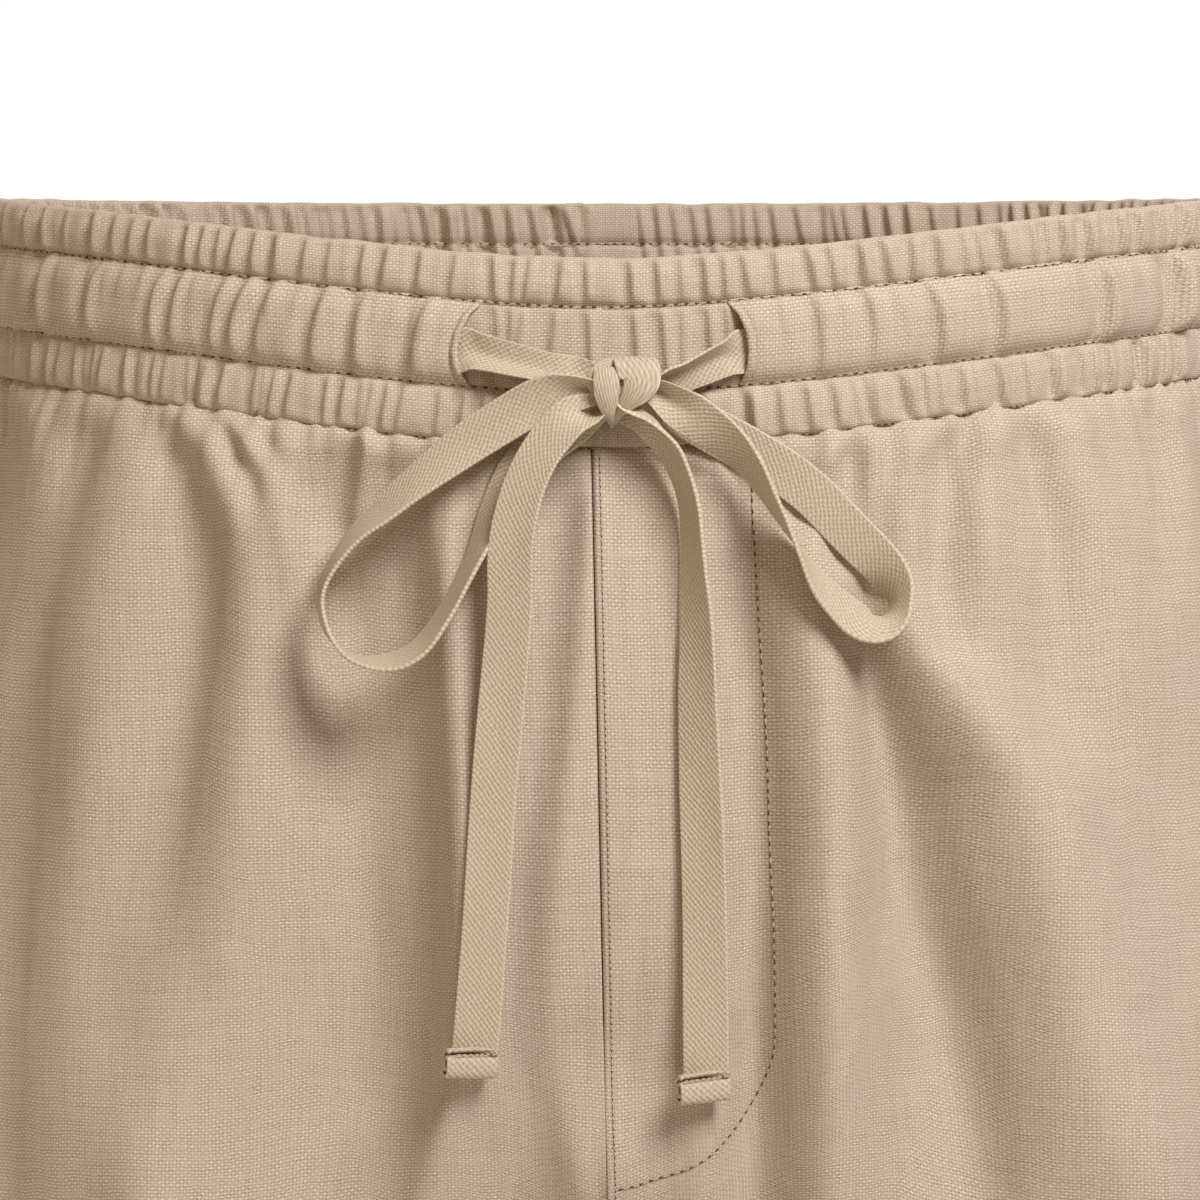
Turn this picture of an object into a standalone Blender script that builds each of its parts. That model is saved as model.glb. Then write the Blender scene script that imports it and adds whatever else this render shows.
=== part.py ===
"""Elastic waist shorts with a tied tape drawstring, filled out as when worn. Metres, +Z up, front at -Y."""

import math
from collections import namedtuple

import bmesh
import bpy
import numpy as np

MM = 0.001

# Waistband, gathered round its elastic.
WAIST_HALF_WIDTH = 0.163
WAIST_HALF_DEPTH = 0.106
BAND_HEIGHT = 0.0454
BAND_WALL = 0.003
STITCH_DROPS = (0.0117, 0.0322)
RIM_MEAN = 0.008
RIM_TILT = 0.001
FRONT_DIP = 0.017
FRONT_DIP_SPREAD = math.radians(45)
FRONT_DIP_POWER = 1.68
PLEATS = 72
PLEAT_DEPTH = 0.0011

# Drawcord channel, a strip stitched on the band between two openings at the front.
CHANNEL_LEFT_OPENING = 0.0340
CHANNEL_RIGHT_OPENING = -0.0330
CHANNEL_WALL = 0.0012
CHANNEL_COLUMNS = 64
CHANNEL_ROWS = (
    {"drop": 0.0121, "stand_off": 0.0004, "mouth": 0.0040},
    {"drop": 0.0152, "stand_off": 0.0032, "mouth": 0.0010},
    {"drop": 0.0290, "stand_off": 0.0034, "mouth": 0.0000},
    {"drop": 0.0318, "stand_off": 0.0004, "mouth": 0.0012},
)

# Panels: trunk levels run from the waist seam (0) to the crotch (1), leg levels on to the hem (2).
CLOTH_WALL = 0.0015
SEAM_GAP = 0.0003
CROTCH_HEIGHT = -0.285
HEM_HEIGHT = -0.475
HEM_RISE_AT_SIDE = 0.006
RISE_CURVE_START = 0.70
LEG_BLEND = (0.35, 0.90)
CENTRE_HOLD = 6
TRUNK_SECTIONS = (
    {"level": 0.00, "half_width": 0.163, "front": 0.106, "back": 0.106},
    {"level": 0.12, "half_width": 0.173, "front": 0.110, "back": 0.113},
    {"level": 0.40, "half_width": 0.190, "front": 0.115, "back": 0.132},
    {"level": 0.70, "half_width": 0.200, "front": 0.118, "back": 0.138},
    {"level": 1.00, "half_width": 0.203, "front": 0.118, "back": 0.132},
)
LEG_SECTIONS = (
    {"level": 0.3, "half_width": 0.0980, "front": 0.1140, "back": 0.1300, "inner_gap": 0.0000},
    {"level": 0.7, "half_width": 0.1005, "front": 0.1125, "back": 0.1340, "inner_gap": 0.0000},
    {"level": 1.0, "half_width": 0.1010, "front": 0.1085, "back": 0.1270, "inner_gap": 0.0000},
    {"level": 1.4, "half_width": 0.1000, "front": 0.1030, "back": 0.1150, "inner_gap": 0.0035},
    {"level": 2.0, "half_width": 0.0970, "front": 0.0970, "back": 0.1020, "inner_gap": 0.0140},
)
CENTRE_SEAM_START = -0.0020
CENTRE_SEAM_DRIFT = 0.0048
FRONT_COLUMNS = 22
BACK_COLUMNS = 15

# Largest folds. A fold runs from top_x to low_x (Y at the sides) between two depths below the waist
# seam, bows sideways, and stands out by rise: a ridge is positive and a trough negative.
Fold = namedtuple("Fold", "face top_x low_x bow top low width rise")
FOLDS = (
    Fold("front", -0.108, -0.107, 0.013, -0.010, 0.150, 0.009, -0.0045),
    Fold("front", -0.122, -0.122, 0.012, -0.010, 0.190, 0.012, 0.0025),
    Fold("front", -0.090, -0.068, 0.002, -0.010, 0.066, 0.007, -0.0035),
    Fold("front", 0.038, 0.050, 0.004, 0.020, 0.200, 0.009, -0.0035),
    Fold("front", 0.056, 0.080, -0.001, 0.030, 0.230, 0.010, 0.0040),
    Fold("front", 0.070, 0.104, -0.014, -0.010, 0.220, 0.009, -0.0050),
    Fold("front", 0.095, 0.094, -0.002, -0.010, 0.060, 0.006, -0.0030),
    Fold("front", 0.117, 0.124, 0.000, -0.010, 0.090, 0.009, -0.0035),
    Fold("side", 0.020, 0.034, 0.004, -0.010, 0.150, 0.010, -0.0035),
    Fold("side", -0.024, -0.030, -0.003, -0.010, 0.120, 0.009, -0.0030),
    Fold("back", -0.104, -0.112, 0.008, -0.010, 0.160, 0.010, -0.0042),
    Fold("back", -0.058, -0.066, -0.004, -0.010, 0.110, 0.009, -0.0034),
    Fold("back", 0.048, 0.060, 0.004, -0.010, 0.130, 0.009, -0.0038),
    Fold("back", 0.096, 0.112, -0.006, -0.010, 0.170, 0.011, -0.0042),
    Fold("back", 0.124, 0.128, 0.004, -0.010, 0.090, 0.008, -0.0030),
)
FOLD_FADE = (0.55, 1.0)

# Turned-up hem inside each leg.
HEM_DEPTH = 0.025
HEM_WALL = 0.0012

# Drawstring tape. Each stop gives the middle of the tape in millimetres: x, drop below the front
# rim and off, its distance out from the cloth, and roll (0 lies flat on the cloth, 90 is on edge).
Stop = namedtuple("Stop", "x drop off roll")
TAPE_WIDTH = 0.0110
TAPE_WALL = 0.0012
KNOT_CENTRE = Stop(5.8, 31.5, 7.6, 0)
KNOT_SIZE = {"x": 8.6, "z": 7.2, "y": 4.6}
END_ROLL = {"width": 0.0134, "diameter": 0.0066, "flatness": 0.8, "sides": 14}
ROUTES = {
    "string_run_right": (
        Stop(-37.0, 21.8, 1.0, 0),
        Stop(-32.5, 22.0, 1.3, 2),
        Stop(-27.0, 23.2, 2.5, 16),
        Stop(-20.4, 25.0, 3.6, 26),
        Stop(-13.5, 26.8, 4.6, 34),
        Stop(-7.4, 28.0, 5.0, 36),
        Stop(-2.6, 28.9, 5.3, 36),
    ),
    "string_run_left": (
        Stop(38.0, 21.9, 1.0, 0),
        Stop(33.8, 22.3, 1.3, 3),
        Stop(29.0, 23.8, 2.6, 22),
        Stop(24.0, 25.8, 3.8, 34),
        Stop(19.4, 27.6, 4.8, 42),
        Stop(13.7, 29.1, 5.9, 42),
    ),
    "string_loop_right": (
        Stop(-2.8, 31.6, 8.9, 20),
        Stop(-8.0, 31.9, 9.9, 30),
        Stop(-14.2, 33.6, 9.6, 30),
        Stop(-21.4, 37.6, 8.8, 16),
        Stop(-32.4, 44.8, 7.8, 18),
        Stop(-44.4, 53.8, 7.2, 48),
        Stop(-51.6, 60.2, 7.0, 60),
        Stop(-57.6, 65.2, 6.8, 73),
        Stop(-62.8, 71.4, 6.6, 80),
        Stop(-66.2, 77.8, 6.5, 85),
        Stop(-66.8, 83.4, 6.4, 81),
        Stop(-64.4, 90.2, 6.4, 77),
        Stop(-58.8, 95.0, 6.4, 74),
        Stop(-50.2, 96.0, 6.4, 81),
        Stop(-43.0, 92.4, 6.4, 90),
        Stop(-36.8, 84.0, 6.4, 106),
        Stop(-31.8, 74.8, 6.4, 112),
        Stop(-28.6, 68.2, 6.2, 120),
        Stop(-24.6, 59.6, 5.2, 138),
        Stop(-19.4, 50.8, 3.9, 156),
        Stop(-12.0, 44.0, 2.6, 170),
        Stop(-5.4, 40.6, 2.2, 175),
        Stop(0.2, 38.4, 2.6, 175),
    ),
    "string_loop_left": (
        Stop(15.0, 32.6, 8.9, -10),
        Stop(18.6, 35.0, 10.2, -14),
        Stop(24.0, 38.8, 10.8, -20),
        Stop(31.0, 44.2, 10.9, -40),
        Stop(36.2, 50.0, 10.7, -60),
        Stop(39.8, 56.0, 10.2, -72),
        Stop(43.8, 63.0, 9.7, -82),
        Stop(47.6, 69.8, 9.5, -96),
        Stop(52.2, 77.6, 9.0, -116),
        Stop(57.2, 82.6, 8.2, -126),
        Stop(62.6, 86.6, 7.6, -130),
        Stop(67.8, 88.2, 7.1, -128),
        Stop(71.8, 87.0, 6.3, -122),
        Stop(73.4, 83.4, 5.4, -122),
        Stop(72.4, 79.0, 4.5, -134),
        Stop(69.4, 74.8, 3.6, -152),
        Stop(64.8, 70.2, 2.9, -168),
        Stop(58.8, 64.4, 2.6, -175),
        Stop(52.0, 57.4, 2.8, -177),
        Stop(44.6, 51.4, 2.6, -177),
        Stop(36.6, 46.4, 2.5, -176),
        Stop(27.8, 41.6, 2.5, -176),
        Stop(20.6, 37.6, 2.4, -178),
        Stop(13.0, 34.4, 2.6, -178),
    ),
    "string_tail_right": (
        Stop(-1.7, 36.2, 8.9, 30),
        Stop(-7.4, 38.4, 12.2, 34),
        Stop(-13.4, 45.0, 13.2, 30),
        Stop(-17.5, 52.9, 13.0, 18),
        Stop(-19.9, 61.1, 12.4, 8),
        Stop(-21.2, 70.0, 11.2, 6),
        Stop(-21.4, 82.3, 8.6, 4),
        Stop(-23.0, 101.5, 4.4, 4),
        Stop(-25.4, 128.0, 2.4, 3),
        Stop(-27.1, 154.5, 2.0, 0),
        Stop(-29.0, 179.0, 2.9, 0),
        Stop(-30.0, 189.0, 3.9, 0),
    ),
    "string_tail_left": (
        Stop(5.8, 40.5, 7.6, 60),
        Stop(11.0, 41.6, 9.0, 60),
        Stop(16.1, 45.2, 9.6, 64),
        Stop(19.7, 52.0, 9.2, 68),
        Stop(21.4, 59.4, 8.6, 67),
        Stop(21.9, 66.4, 7.8, 65),
        Stop(22.4, 75.6, 6.8, 58),
        Stop(22.9, 83.8, 5.8, 49),
        Stop(23.2, 95.5, 4.6, 38),
        Stop(23.3, 106.3, 3.5, 27),
        Stop(23.8, 121.0, 2.4, 14),
        Stop(24.5, 137.6, 1.8, 6),
        Stop(25.0, 160.5, 1.8, 3),
        Stop(25.2, 184.0, 2.6, 0),
        Stop(25.4, 194.0, 3.6, 0),
    ),
}
TAPE_STEPS = 2
KNOT_PINCH = 0.55
PINCH_REACH = 0.008
TIED_ENDS = {"run": (False, True), "loop": (True, True), "tail": (True, False)}

COTTON = ("cotton_cloth", (0.539, 0.402, 0.273), 0.92)
COTTON_INSIDE = ("cotton_band", (0.503, 0.371, 0.253), 0.92)
TAPE = ("twill_tape", (0.571, 0.430, 0.292), 0.88)


def clear_scene():
    for old in list(bpy.data.objects):
        bpy.data.objects.remove(old, do_unlink=True)


def material(name, colour, roughness):
    made = bpy.data.materials.get(name) or bpy.data.materials.new(name)
    made.use_nodes = True
    shader = made.node_tree.nodes["Principled BSDF"]
    shader.inputs["Base Color"].default_value = (*colour, 1)
    shader.inputs["Roughness"].default_value = roughness
    shader.inputs["Metallic"].default_value = 0
    return made


def add_object(name, points, faces, finish):
    mesh = bpy.data.meshes.new(name)
    mesh.from_pydata(points.tolist(), [], faces)
    shaper = bmesh.new()
    shaper.from_mesh(mesh)
    bmesh.ops.triangulate(shaper, faces=shaper.faces[:])
    bmesh.ops.recalc_face_normals(shaper, faces=shaper.faces[:])
    shaper.to_mesh(mesh)
    shaper.free()
    mesh.materials.append(material(*finish))
    made = bpy.data.objects.new(name, mesh)
    bpy.context.scene.collection.objects.link(made)
    return made


def smooth_step(amount):
    amount = np.clip(amount, 0, 1)
    return amount * amount * (3 - 2 * amount)


def section_size(sections, column, level):
    """A size at a level: a smooth cubic through the rows of a table of sections."""
    levels = np.array([row["level"] for row in sections])
    sizes = np.array([row[column] for row in sections])
    slopes = np.gradient(sizes, levels)
    span = np.clip(np.searchsorted(levels, level, side="right") - 1, 0, len(levels) - 2)
    step = levels[span + 1] - levels[span]
    along = np.clip((level - levels[span]) / step, 0, 1)
    rise = sizes[span + 1] - sizes[span]
    curve = 3 * along**2 - 2 * along**3
    start = along**3 - 2 * along**2 + along
    end = along**3 - along**2
    return sizes[span] + rise * curve + step * (slopes[span] * start + slopes[span + 1] * end)


def rim_height(angle):
    """Height of the band's top edge: nearly level, with a rounded dip at centre front."""
    away = np.abs(np.arctan2(np.sin(angle), np.cos(angle))) / FRONT_DIP_SPREAD
    return RIM_MEAN - RIM_TILT * np.cos(angle) - FRONT_DIP * np.exp(-(away**FRONT_DIP_POWER))


def waist_point(angle, drop, out):
    """A point of the waist ellipse at a drop below the rim, moved out along the ellipse's normal."""
    normal = np.stack([np.sin(angle) * WAIST_HALF_DEPTH, -np.cos(angle) * WAIST_HALF_WIDTH])
    normal = normal / np.linalg.norm(normal, axis=0)
    x = WAIST_HALF_WIDTH * np.sin(angle) + out * normal[0]
    y = -WAIST_HALF_DEPTH * np.cos(angle) + out * normal[1]
    return np.stack([x, y, rim_height(angle) - drop + 0 * x], axis=-1)


def fold_rise(x, y, down, turn, level):
    """How far the cloth stands out of its plain form: the sum of the folds' soft troughs and ridges."""
    faces = {
        "front": (x, smooth_step(np.cos(turn) * 3)),
        "back": (x, smooth_step(-np.cos(turn) * 3)),
        "side": (y, smooth_step(np.abs(np.sin(turn)) * 3 - 2)),
    }
    total = np.zeros_like(x)
    for fold in FOLDS:
        across, share = faces[fold.face]
        along = (down - fold.top) / (fold.low - fold.top)
        middle = fold.top_x + (fold.low_x - fold.top_x) * along
        middle = middle + 4 * fold.bow * along * (1 - along)
        ends = smooth_step(along * 6) * smooth_step((1 - along) * 1.8)
        total += share * ends * fold.rise * np.exp(-(((across - middle) / fold.width) ** 2))
    return total * (1 - smooth_step((level - FOLD_FADE[0]) / (FOLD_FADE[1] - FOLD_FADE[0])))


def plain_form(side, part, level):
    """The body before its folds, and how far each point lies below the waist seam. part runs from 0
    at centre front, by 0.5 at the side seam, to 1 at centre back. The trunk's half ellipse turns into
    a leg's ellipse, whose inner side starts from the crotch curve, a quarter ellipse."""
    turn = np.pi * part
    trunk = np.clip(level, 0, 1)
    at_front = part < 0.5
    depth = np.where(
        at_front,
        section_size(TRUNK_SECTIONS, "front", trunk),
        section_size(TRUNK_SECTIONS, "back", trunk),
    )
    trunk_x = section_size(TRUNK_SECTIONS, "half_width", trunk) * np.sin(turn)
    trunk_y = -depth * np.cos(turn)
    leg_depth = np.where(
        at_front,
        section_size(LEG_SECTIONS, "front", level),
        section_size(LEG_SECTIONS, "back", level),
    )
    leg_width = section_size(LEG_SECTIONS, "half_width", level)
    leg_gap = np.maximum(section_size(LEG_SECTIONS, "inner_gap", level), 0)
    leg_x = leg_gap + leg_width * (1 - np.cos(2 * turn))
    rise = np.clip((trunk - RISE_CURVE_START) / (1 - RISE_CURVE_START), 0, 1)
    crotch_curve = depth * np.sqrt(1 - rise**2)
    bulge = np.abs(np.sin(2 * turn))
    inner_half = np.abs(part - 0.5) > 0.25
    leg_y = leg_depth * bulge + np.where(inner_half, crotch_curve * (1 - bulge), 0)
    leg_y = np.where(at_front, -leg_y, leg_y)
    blend = smooth_step((trunk - LEG_BLEND[0]) / (LEG_BLEND[1] - LEG_BLEND[0]))
    hold = np.abs(np.cos(turn)) ** CENTRE_HOLD
    centre = CENTRE_SEAM_START + CENTRE_SEAM_DRIFT * trunk
    centre = centre * hold * np.where(at_front, 1, 0) * (1 - smooth_step((level - 0.8) / 0.2))
    x = side * ((1 - blend) * trunk_x + blend * leg_x) + centre
    y = (1 - blend) * trunk_y + blend * leg_y
    seam = rim_height(turn) - BAND_HEIGHT - SEAM_GAP
    trunk_z = seam + (CROTCH_HEIGHT - seam) * trunk
    hem = HEM_HEIGHT + HEM_RISE_AT_SIDE * np.sin(turn) ** 2
    leg_z = CROTCH_HEIGHT + (hem - CROTCH_HEIGHT) * (level - 1)
    z = np.where(level < 1, trunk_z, leg_z)
    return np.stack([x, y, z], axis=-1), seam - z


def outward(side, part, level):
    """Unit normals of the plain form, from small steps along its two directions."""
    small = 1e-4
    before = np.clip(part - small, 0, 1)
    after = np.clip(part + small, 0, 1)
    above = np.clip(level - small, 0, 2)
    below = np.clip(level + small, 0, 2)
    round_step = plain_form(side, after, level)[0] - plain_form(side, before, level)[0]
    down_step = plain_form(side, part, below)[0] - plain_form(side, part, above)[0]
    normal = np.cross(round_step, down_step) * -side
    edge = (part < 1e-6) | (part > 1 - 1e-6)
    normal[..., 0] = np.where(edge & (level < 1), 0, normal[..., 0])
    along_edge = np.stack([0 * part, -down_step[..., 2], down_step[..., 1]], axis=-1)
    along_edge *= np.where(part < 0.5, -1, 1)[..., None]
    normal = np.where((edge & (level < 1))[..., None], along_edge, normal)
    inseam = np.stack([-side + 0 * part, 0 * part, 0 * part], axis=-1)
    normal = np.where((edge & (level > 1))[..., None], inseam, normal)
    crotch = np.stack([-side + 0 * part, 0 * part, -1 + 0 * part], axis=-1)
    normal = np.where((edge & (np.abs(level - 1) < 1e-6))[..., None], crotch, normal)
    return normal / np.linalg.norm(normal, axis=-1, keepdims=True)


def body_form(side, part, level, inward=0.0):
    """The folded cloth surface, moved inward by a distance."""
    points, down = plain_form(side, part, level)
    normals = outward(side, part, level)
    rise = fold_rise(points[..., 0], points[..., 1], down, np.pi * part, level)
    return points + normals * (rise - inward)[..., None]


def wall_faces(rows, columns, closed_round):
    """Faces of a wall between an outer and an inner grid of points, with its edges closed."""
    count = rows * columns
    spans = columns if closed_round else columns - 1
    faces = []
    for row in range(rows - 1):
        for column in range(spans):
            a = row * columns + column
            b = row * columns + (column + 1) % columns
            c, d = a + columns, b + columns
            faces += [(a, b, d, c), (a + count, c + count, d + count, b + count)]
    for column in range(spans):
        following = (column + 1) % columns
        low = (rows - 1) * columns
        faces.append((column, column + count, following + count, following))
        faces.append((low + column, low + following, low + following + count, low + column + count))
    if not closed_round:
        for row in range(rows - 1):
            a, b = row * columns, (row + 1) * columns
            c, d = a + columns - 1, b + columns - 1
            faces.append((a, b, b + count, a + count))
            faces.append((c, c + count, d + count, d))
    return faces


def add_wall(name, outer, inner, finish, closed_round=False):
    rows, columns = outer.shape[:2]
    points = np.concatenate([outer.reshape(-1, 3), inner.reshape(-1, 3)])
    return add_object(name, points, wall_faces(rows, columns, closed_round), finish)


def waistband():
    """A ring whose columns are alternately the crest and the trough of a pleat."""
    columns = 2 * PLEATS
    steps = np.arange(columns)
    uneven = 0.22 * np.sin(steps * 1.7) + 0.16 * np.sin(steps * 0.61)
    angles = 2 * math.pi * (steps + uneven) / columns
    depths = PLEAT_DEPTH * (0.75 + 0.25 * np.sin(steps * 0.37)) * (steps % 2)
    drops = np.array([0.0, *STITCH_DROPS, BAND_HEIGHT])
    pinch = np.array([1.0, 0.7, 0.7, 1.0])
    angle, drop = np.meshgrid(angles, drops)
    outer = waist_point(angle, drop, -np.outer(pinch, depths))
    inner = waist_point(angle, drop, -BAND_WALL - 0 * angle)
    add_wall("waistband", outer, inner, COTTON_INSIDE, closed_round=True)


def opening_angle(across):
    return math.asin(across / WAIST_HALF_WIDTH)


def drawcord_channel():
    """A puffed strip round the band from the left opening by the back to the right opening."""
    grids = []
    steps = np.arange(CHANNEL_COLUMNS + 1)
    for row in CHANNEL_ROWS:
        start = opening_angle(CHANNEL_LEFT_OPENING - row["mouth"])
        end = 2 * math.pi + opening_angle(CHANNEL_RIGHT_OPENING + row["mouth"])
        angles = start + (end - start) * steps / CHANNEL_COLUMNS
        puff = row["stand_off"] * (1 + 0 * steps)
        crease = 0.0007 * (0.5 + 0.5 * np.sin(steps * 2.3)) * (row["stand_off"] > 0.001)
        inner = waist_point(angles, row["drop"], puff - crease)
        outer = waist_point(angles, row["drop"], puff - crease + CHANNEL_WALL)
        grids.append((outer, inner))
    outer = np.array([pair[0] for pair in grids])
    inner = np.array([pair[1] for pair in grids])
    add_wall("drawcord_channel", outer, inner, COTTON)


def panel_levels():
    """The trunk's levels, closer together round the crotch curve, then the leg's levels."""
    quarter = np.sin(np.radians([30, 52, 72]))
    curve = RISE_CURVE_START + (1 - RISE_CURVE_START) * quarter
    return np.array([0, 0.05, 0.12, 0.2, 0.3, 0.41, 0.52, 0.62, 0.7, *curve, 1, 1.25, 1.6, 2])


def panel_parts(at_front):
    """The columns of a front or a back panel, from one of its seams to the other."""
    if at_front:
        return np.linspace(0, 0.5, FRONT_COLUMNS)
    return np.linspace(0.5, 1, BACK_COLUMNS)


def quarter_panel(name, side, at_front):
    """One front or back, from the waist seam to the hem and from the centre seam to the side seam."""
    part, level = np.meshgrid(panel_parts(at_front), panel_levels())
    gap = np.array([side, -1 if at_front else 1, 0]) * SEAM_GAP / 2
    outer = body_form(side, part, level) + gap
    inner = body_form(side, part, level, CLOTH_WALL) + gap
    add_wall(name, outer, inner, COTTON)


def hem(name, side):
    """The turned-up layer inside a leg, one closed ring on the panels' own columns."""
    across = np.concatenate([panel_parts(True), panel_parts(False)[1:-1]])
    leg_length = CROTCH_HEIGHT - HEM_HEIGHT
    levels = np.array([2 - HEM_DEPTH / leg_length, 2])
    part, level = np.meshgrid(across, levels)
    clear = CLOTH_WALL + 2 * SEAM_GAP
    outer = body_form(side, part, level, clear)
    inner = body_form(side, part, level, clear + HEM_WALL)
    add_wall(name, outer, inner, COTTON, closed_round=True)


def cloth_depth(x, z):
    """Y of the plain front at a place, on the band above the waist seam and on the body below it."""
    side = 1 if x >= 0 else -1
    part = abs(math.asin(max(-1, min(1, x / WAIST_HALF_WIDTH)))) / math.pi
    seam = float(rim_height(math.pi * part)) - BAND_HEIGHT
    if z > seam:
        return -WAIST_HALF_DEPTH * math.cos(math.pi * part)
    level = (z - seam) / (CROTCH_HEIGHT - seam)
    for _ in range(12):
        at = plain_form(side, np.array(part), np.array(level))[0]
        wide = plain_form(side, np.array(part + 1e-3), np.array(level))[0]
        low = plain_form(side, np.array(part), np.array(level + 1e-3))[0]
        part = max(0, part + (x - at[0]) / (wide[0] - at[0]) * 1e-3)
        level = max(0, level + (z - at[2]) / (low[2] - at[2]) * 1e-3)
    return float(at[1])


def route_points(rows):
    """The middle of the tape in space and its width direction at each row of a route."""
    rim = float(rim_height(0.0))
    middles = []
    for row in rows:
        x, z = row.x * MM, rim - row.drop * MM
        middles.append((x, cloth_depth(x, z) - row.off * MM, z))
    return np.array(middles), np.radians([row.roll for row in rows])


def smooth_route(middles, rolls, steps):
    """A Catmull-Rom curve through the rows, with steps spans between each two."""
    rows = np.column_stack([middles, rolls])
    padded = np.concatenate([[2 * rows[0] - rows[1]], rows, [2 * rows[-1] - rows[-2]]])
    curve = []
    for place in range(1, len(padded) - 2):
        before, start, end, after = padded[place - 1 : place + 3]
        for t in np.arange(steps) / steps:
            bend = 2 * before - 5 * start + 4 * end - after
            turn = 3 * start - before - 3 * end + after
            curve.append(0.5 * (2 * start + (end - before) * t + bend * t**2 + turn * t**3))
    curve.append(rows[-1])
    curve = np.array(curve)
    return curve[:, :3], curve[:, 3]


def tape_half_width(name, middles):
    """Half the tape's width along a route: drawn in where it goes into the knot."""
    spans = np.linalg.norm(np.diff(middles, axis=0), axis=1)
    along = np.concatenate([[0], np.cumsum(spans)])
    tied_start, tied_end = TIED_ENDS[name.split("_")[1]]
    pinch = np.zeros_like(along)
    if tied_start:
        pinch += 1 - smooth_step(along / PINCH_REACH)
    if tied_end:
        pinch += 1 - smooth_step((along[-1] - along) / PINCH_REACH)
    return (TAPE_WIDTH / 2 * (1 - KNOT_PINCH * pinch))[:, None]


def tape_frames(rows, steps):
    """Middles, directions and unit width directions along a route."""
    middles, rolls = smooth_route(*route_points(rows), steps)
    along = np.gradient(middles, axis=0)
    along /= np.linalg.norm(along, axis=1, keepdims=True)
    in_plane = np.cross(along, np.array([0.0, -1.0, 0.0]))
    in_plane /= np.linalg.norm(in_plane, axis=1, keepdims=True)
    out = np.cross(in_plane, along)
    wide = np.cos(rolls)[:, None] * in_plane + np.sin(rolls)[:, None] * out
    return middles, along, wide


def tape(name, rows):
    """A flat tape of four corners carried along its route."""
    middles, along, wide = tape_frames(rows, TAPE_STEPS)
    thick = np.cross(wide, along)
    half = wide * tape_half_width(name, middles)
    skin = thick * TAPE_WALL / 2
    corners = (half + skin, skin - half, -half - skin, half - skin)
    rings = np.stack([middles + corner for corner in corners], axis=1)
    count = len(middles)
    faces = [(3, 2, 1, 0), tuple(4 * (count - 1) + corner for corner in range(4))]
    for ring in range(count - 1):
        for corner in range(4):
            a, b = 4 * ring + corner, 4 * ring + (corner + 1) % 4
            faces.append((a, b, b + 4, a + 4))
    return add_object(name, rings.reshape(-1, 3), faces, TAPE)


def knot():
    """The tied knot, a flattened round solid."""
    rim = float(rim_height(0.0))
    x, z = KNOT_CENTRE.x * MM, rim - KNOT_CENTRE.drop * MM
    y = cloth_depth(x, z) - KNOT_CENTRE.off * MM
    bpy.ops.mesh.primitive_ico_sphere_add(subdivisions=3, radius=1)
    made = bpy.context.object
    made.name = "string_knot"
    made.data.name = "string_knot"
    for vertex in made.data.vertices:
        vertex.co.x = x + vertex.co.x * KNOT_SIZE["x"] * MM
        vertex.co.y = y + vertex.co.y * KNOT_SIZE["y"] * MM
        vertex.co.z = z + vertex.co.z * KNOT_SIZE["z"] * MM
    made.data.materials.append(material(*TAPE))


def tape_end(name, rows):
    """The rolled end of a tail: a short round bar across the tape, just below its end."""
    middles, along, wide = (values[-1] for values in tape_frames(rows, TAPE_STEPS))
    thick = np.cross(wide, along)
    radius = END_ROLL["diameter"] / 2
    turns = 2 * np.pi * np.arange(END_ROLL["sides"]) / END_ROLL["sides"]
    ring = radius * (np.outer(np.cos(turns), along) + END_ROLL["flatness"] * np.outer(np.sin(turns), thick))
    centre = middles + along * (radius + SEAM_GAP)
    half = wide * END_ROLL["width"] / 2
    points = np.concatenate([ring + centre - half, ring + centre + half])
    sides = END_ROLL["sides"]
    faces = [tuple(range(sides)), tuple(range(2 * sides - 1, sides - 1, -1))]
    faces += [(i, (i + 1) % sides, (i + 1) % sides + sides, i + sides) for i in range(sides)]
    add_object(name, points, faces, TAPE)


def main():
    clear_scene()
    waistband()
    drawcord_channel()
    for name, side in (("left", 1), ("right", -1)):
        quarter_panel("front_" + name, side, True)
        quarter_panel("back_" + name, side, False)
        hem("hem_" + name, side)
    for name, rows in ROUTES.items():
        tape(name, rows)
    knot()
    for name in ("left", "right"):
        tape_end("string_end_" + name, ROUTES["string_tail_" + name])


main()
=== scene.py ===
import math
from functools import partial

import bmesh
import bpy
import numpy as np
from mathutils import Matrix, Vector


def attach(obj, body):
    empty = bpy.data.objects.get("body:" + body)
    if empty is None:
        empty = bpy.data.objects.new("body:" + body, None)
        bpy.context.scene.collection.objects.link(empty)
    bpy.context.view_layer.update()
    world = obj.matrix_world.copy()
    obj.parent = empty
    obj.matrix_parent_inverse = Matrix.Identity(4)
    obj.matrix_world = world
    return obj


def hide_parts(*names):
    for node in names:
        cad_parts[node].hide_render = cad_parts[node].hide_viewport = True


# Sand-coloured cotton shorts with a gathered elastic waist and a tied drawstring, worn with no wearer.
# +Z is up, the front faces -Y and the wearer's left is +X. Sizes here are millimetres, meshes are metres.

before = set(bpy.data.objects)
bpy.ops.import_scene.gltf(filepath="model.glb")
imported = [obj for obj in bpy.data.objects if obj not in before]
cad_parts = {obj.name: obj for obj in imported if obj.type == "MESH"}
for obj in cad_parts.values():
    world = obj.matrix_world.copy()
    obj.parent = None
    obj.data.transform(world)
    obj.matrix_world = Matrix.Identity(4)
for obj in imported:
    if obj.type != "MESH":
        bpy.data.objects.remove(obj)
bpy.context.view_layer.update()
mm = 0.001
print("packed shorts loaded:", len(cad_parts), "nodes")

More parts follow.
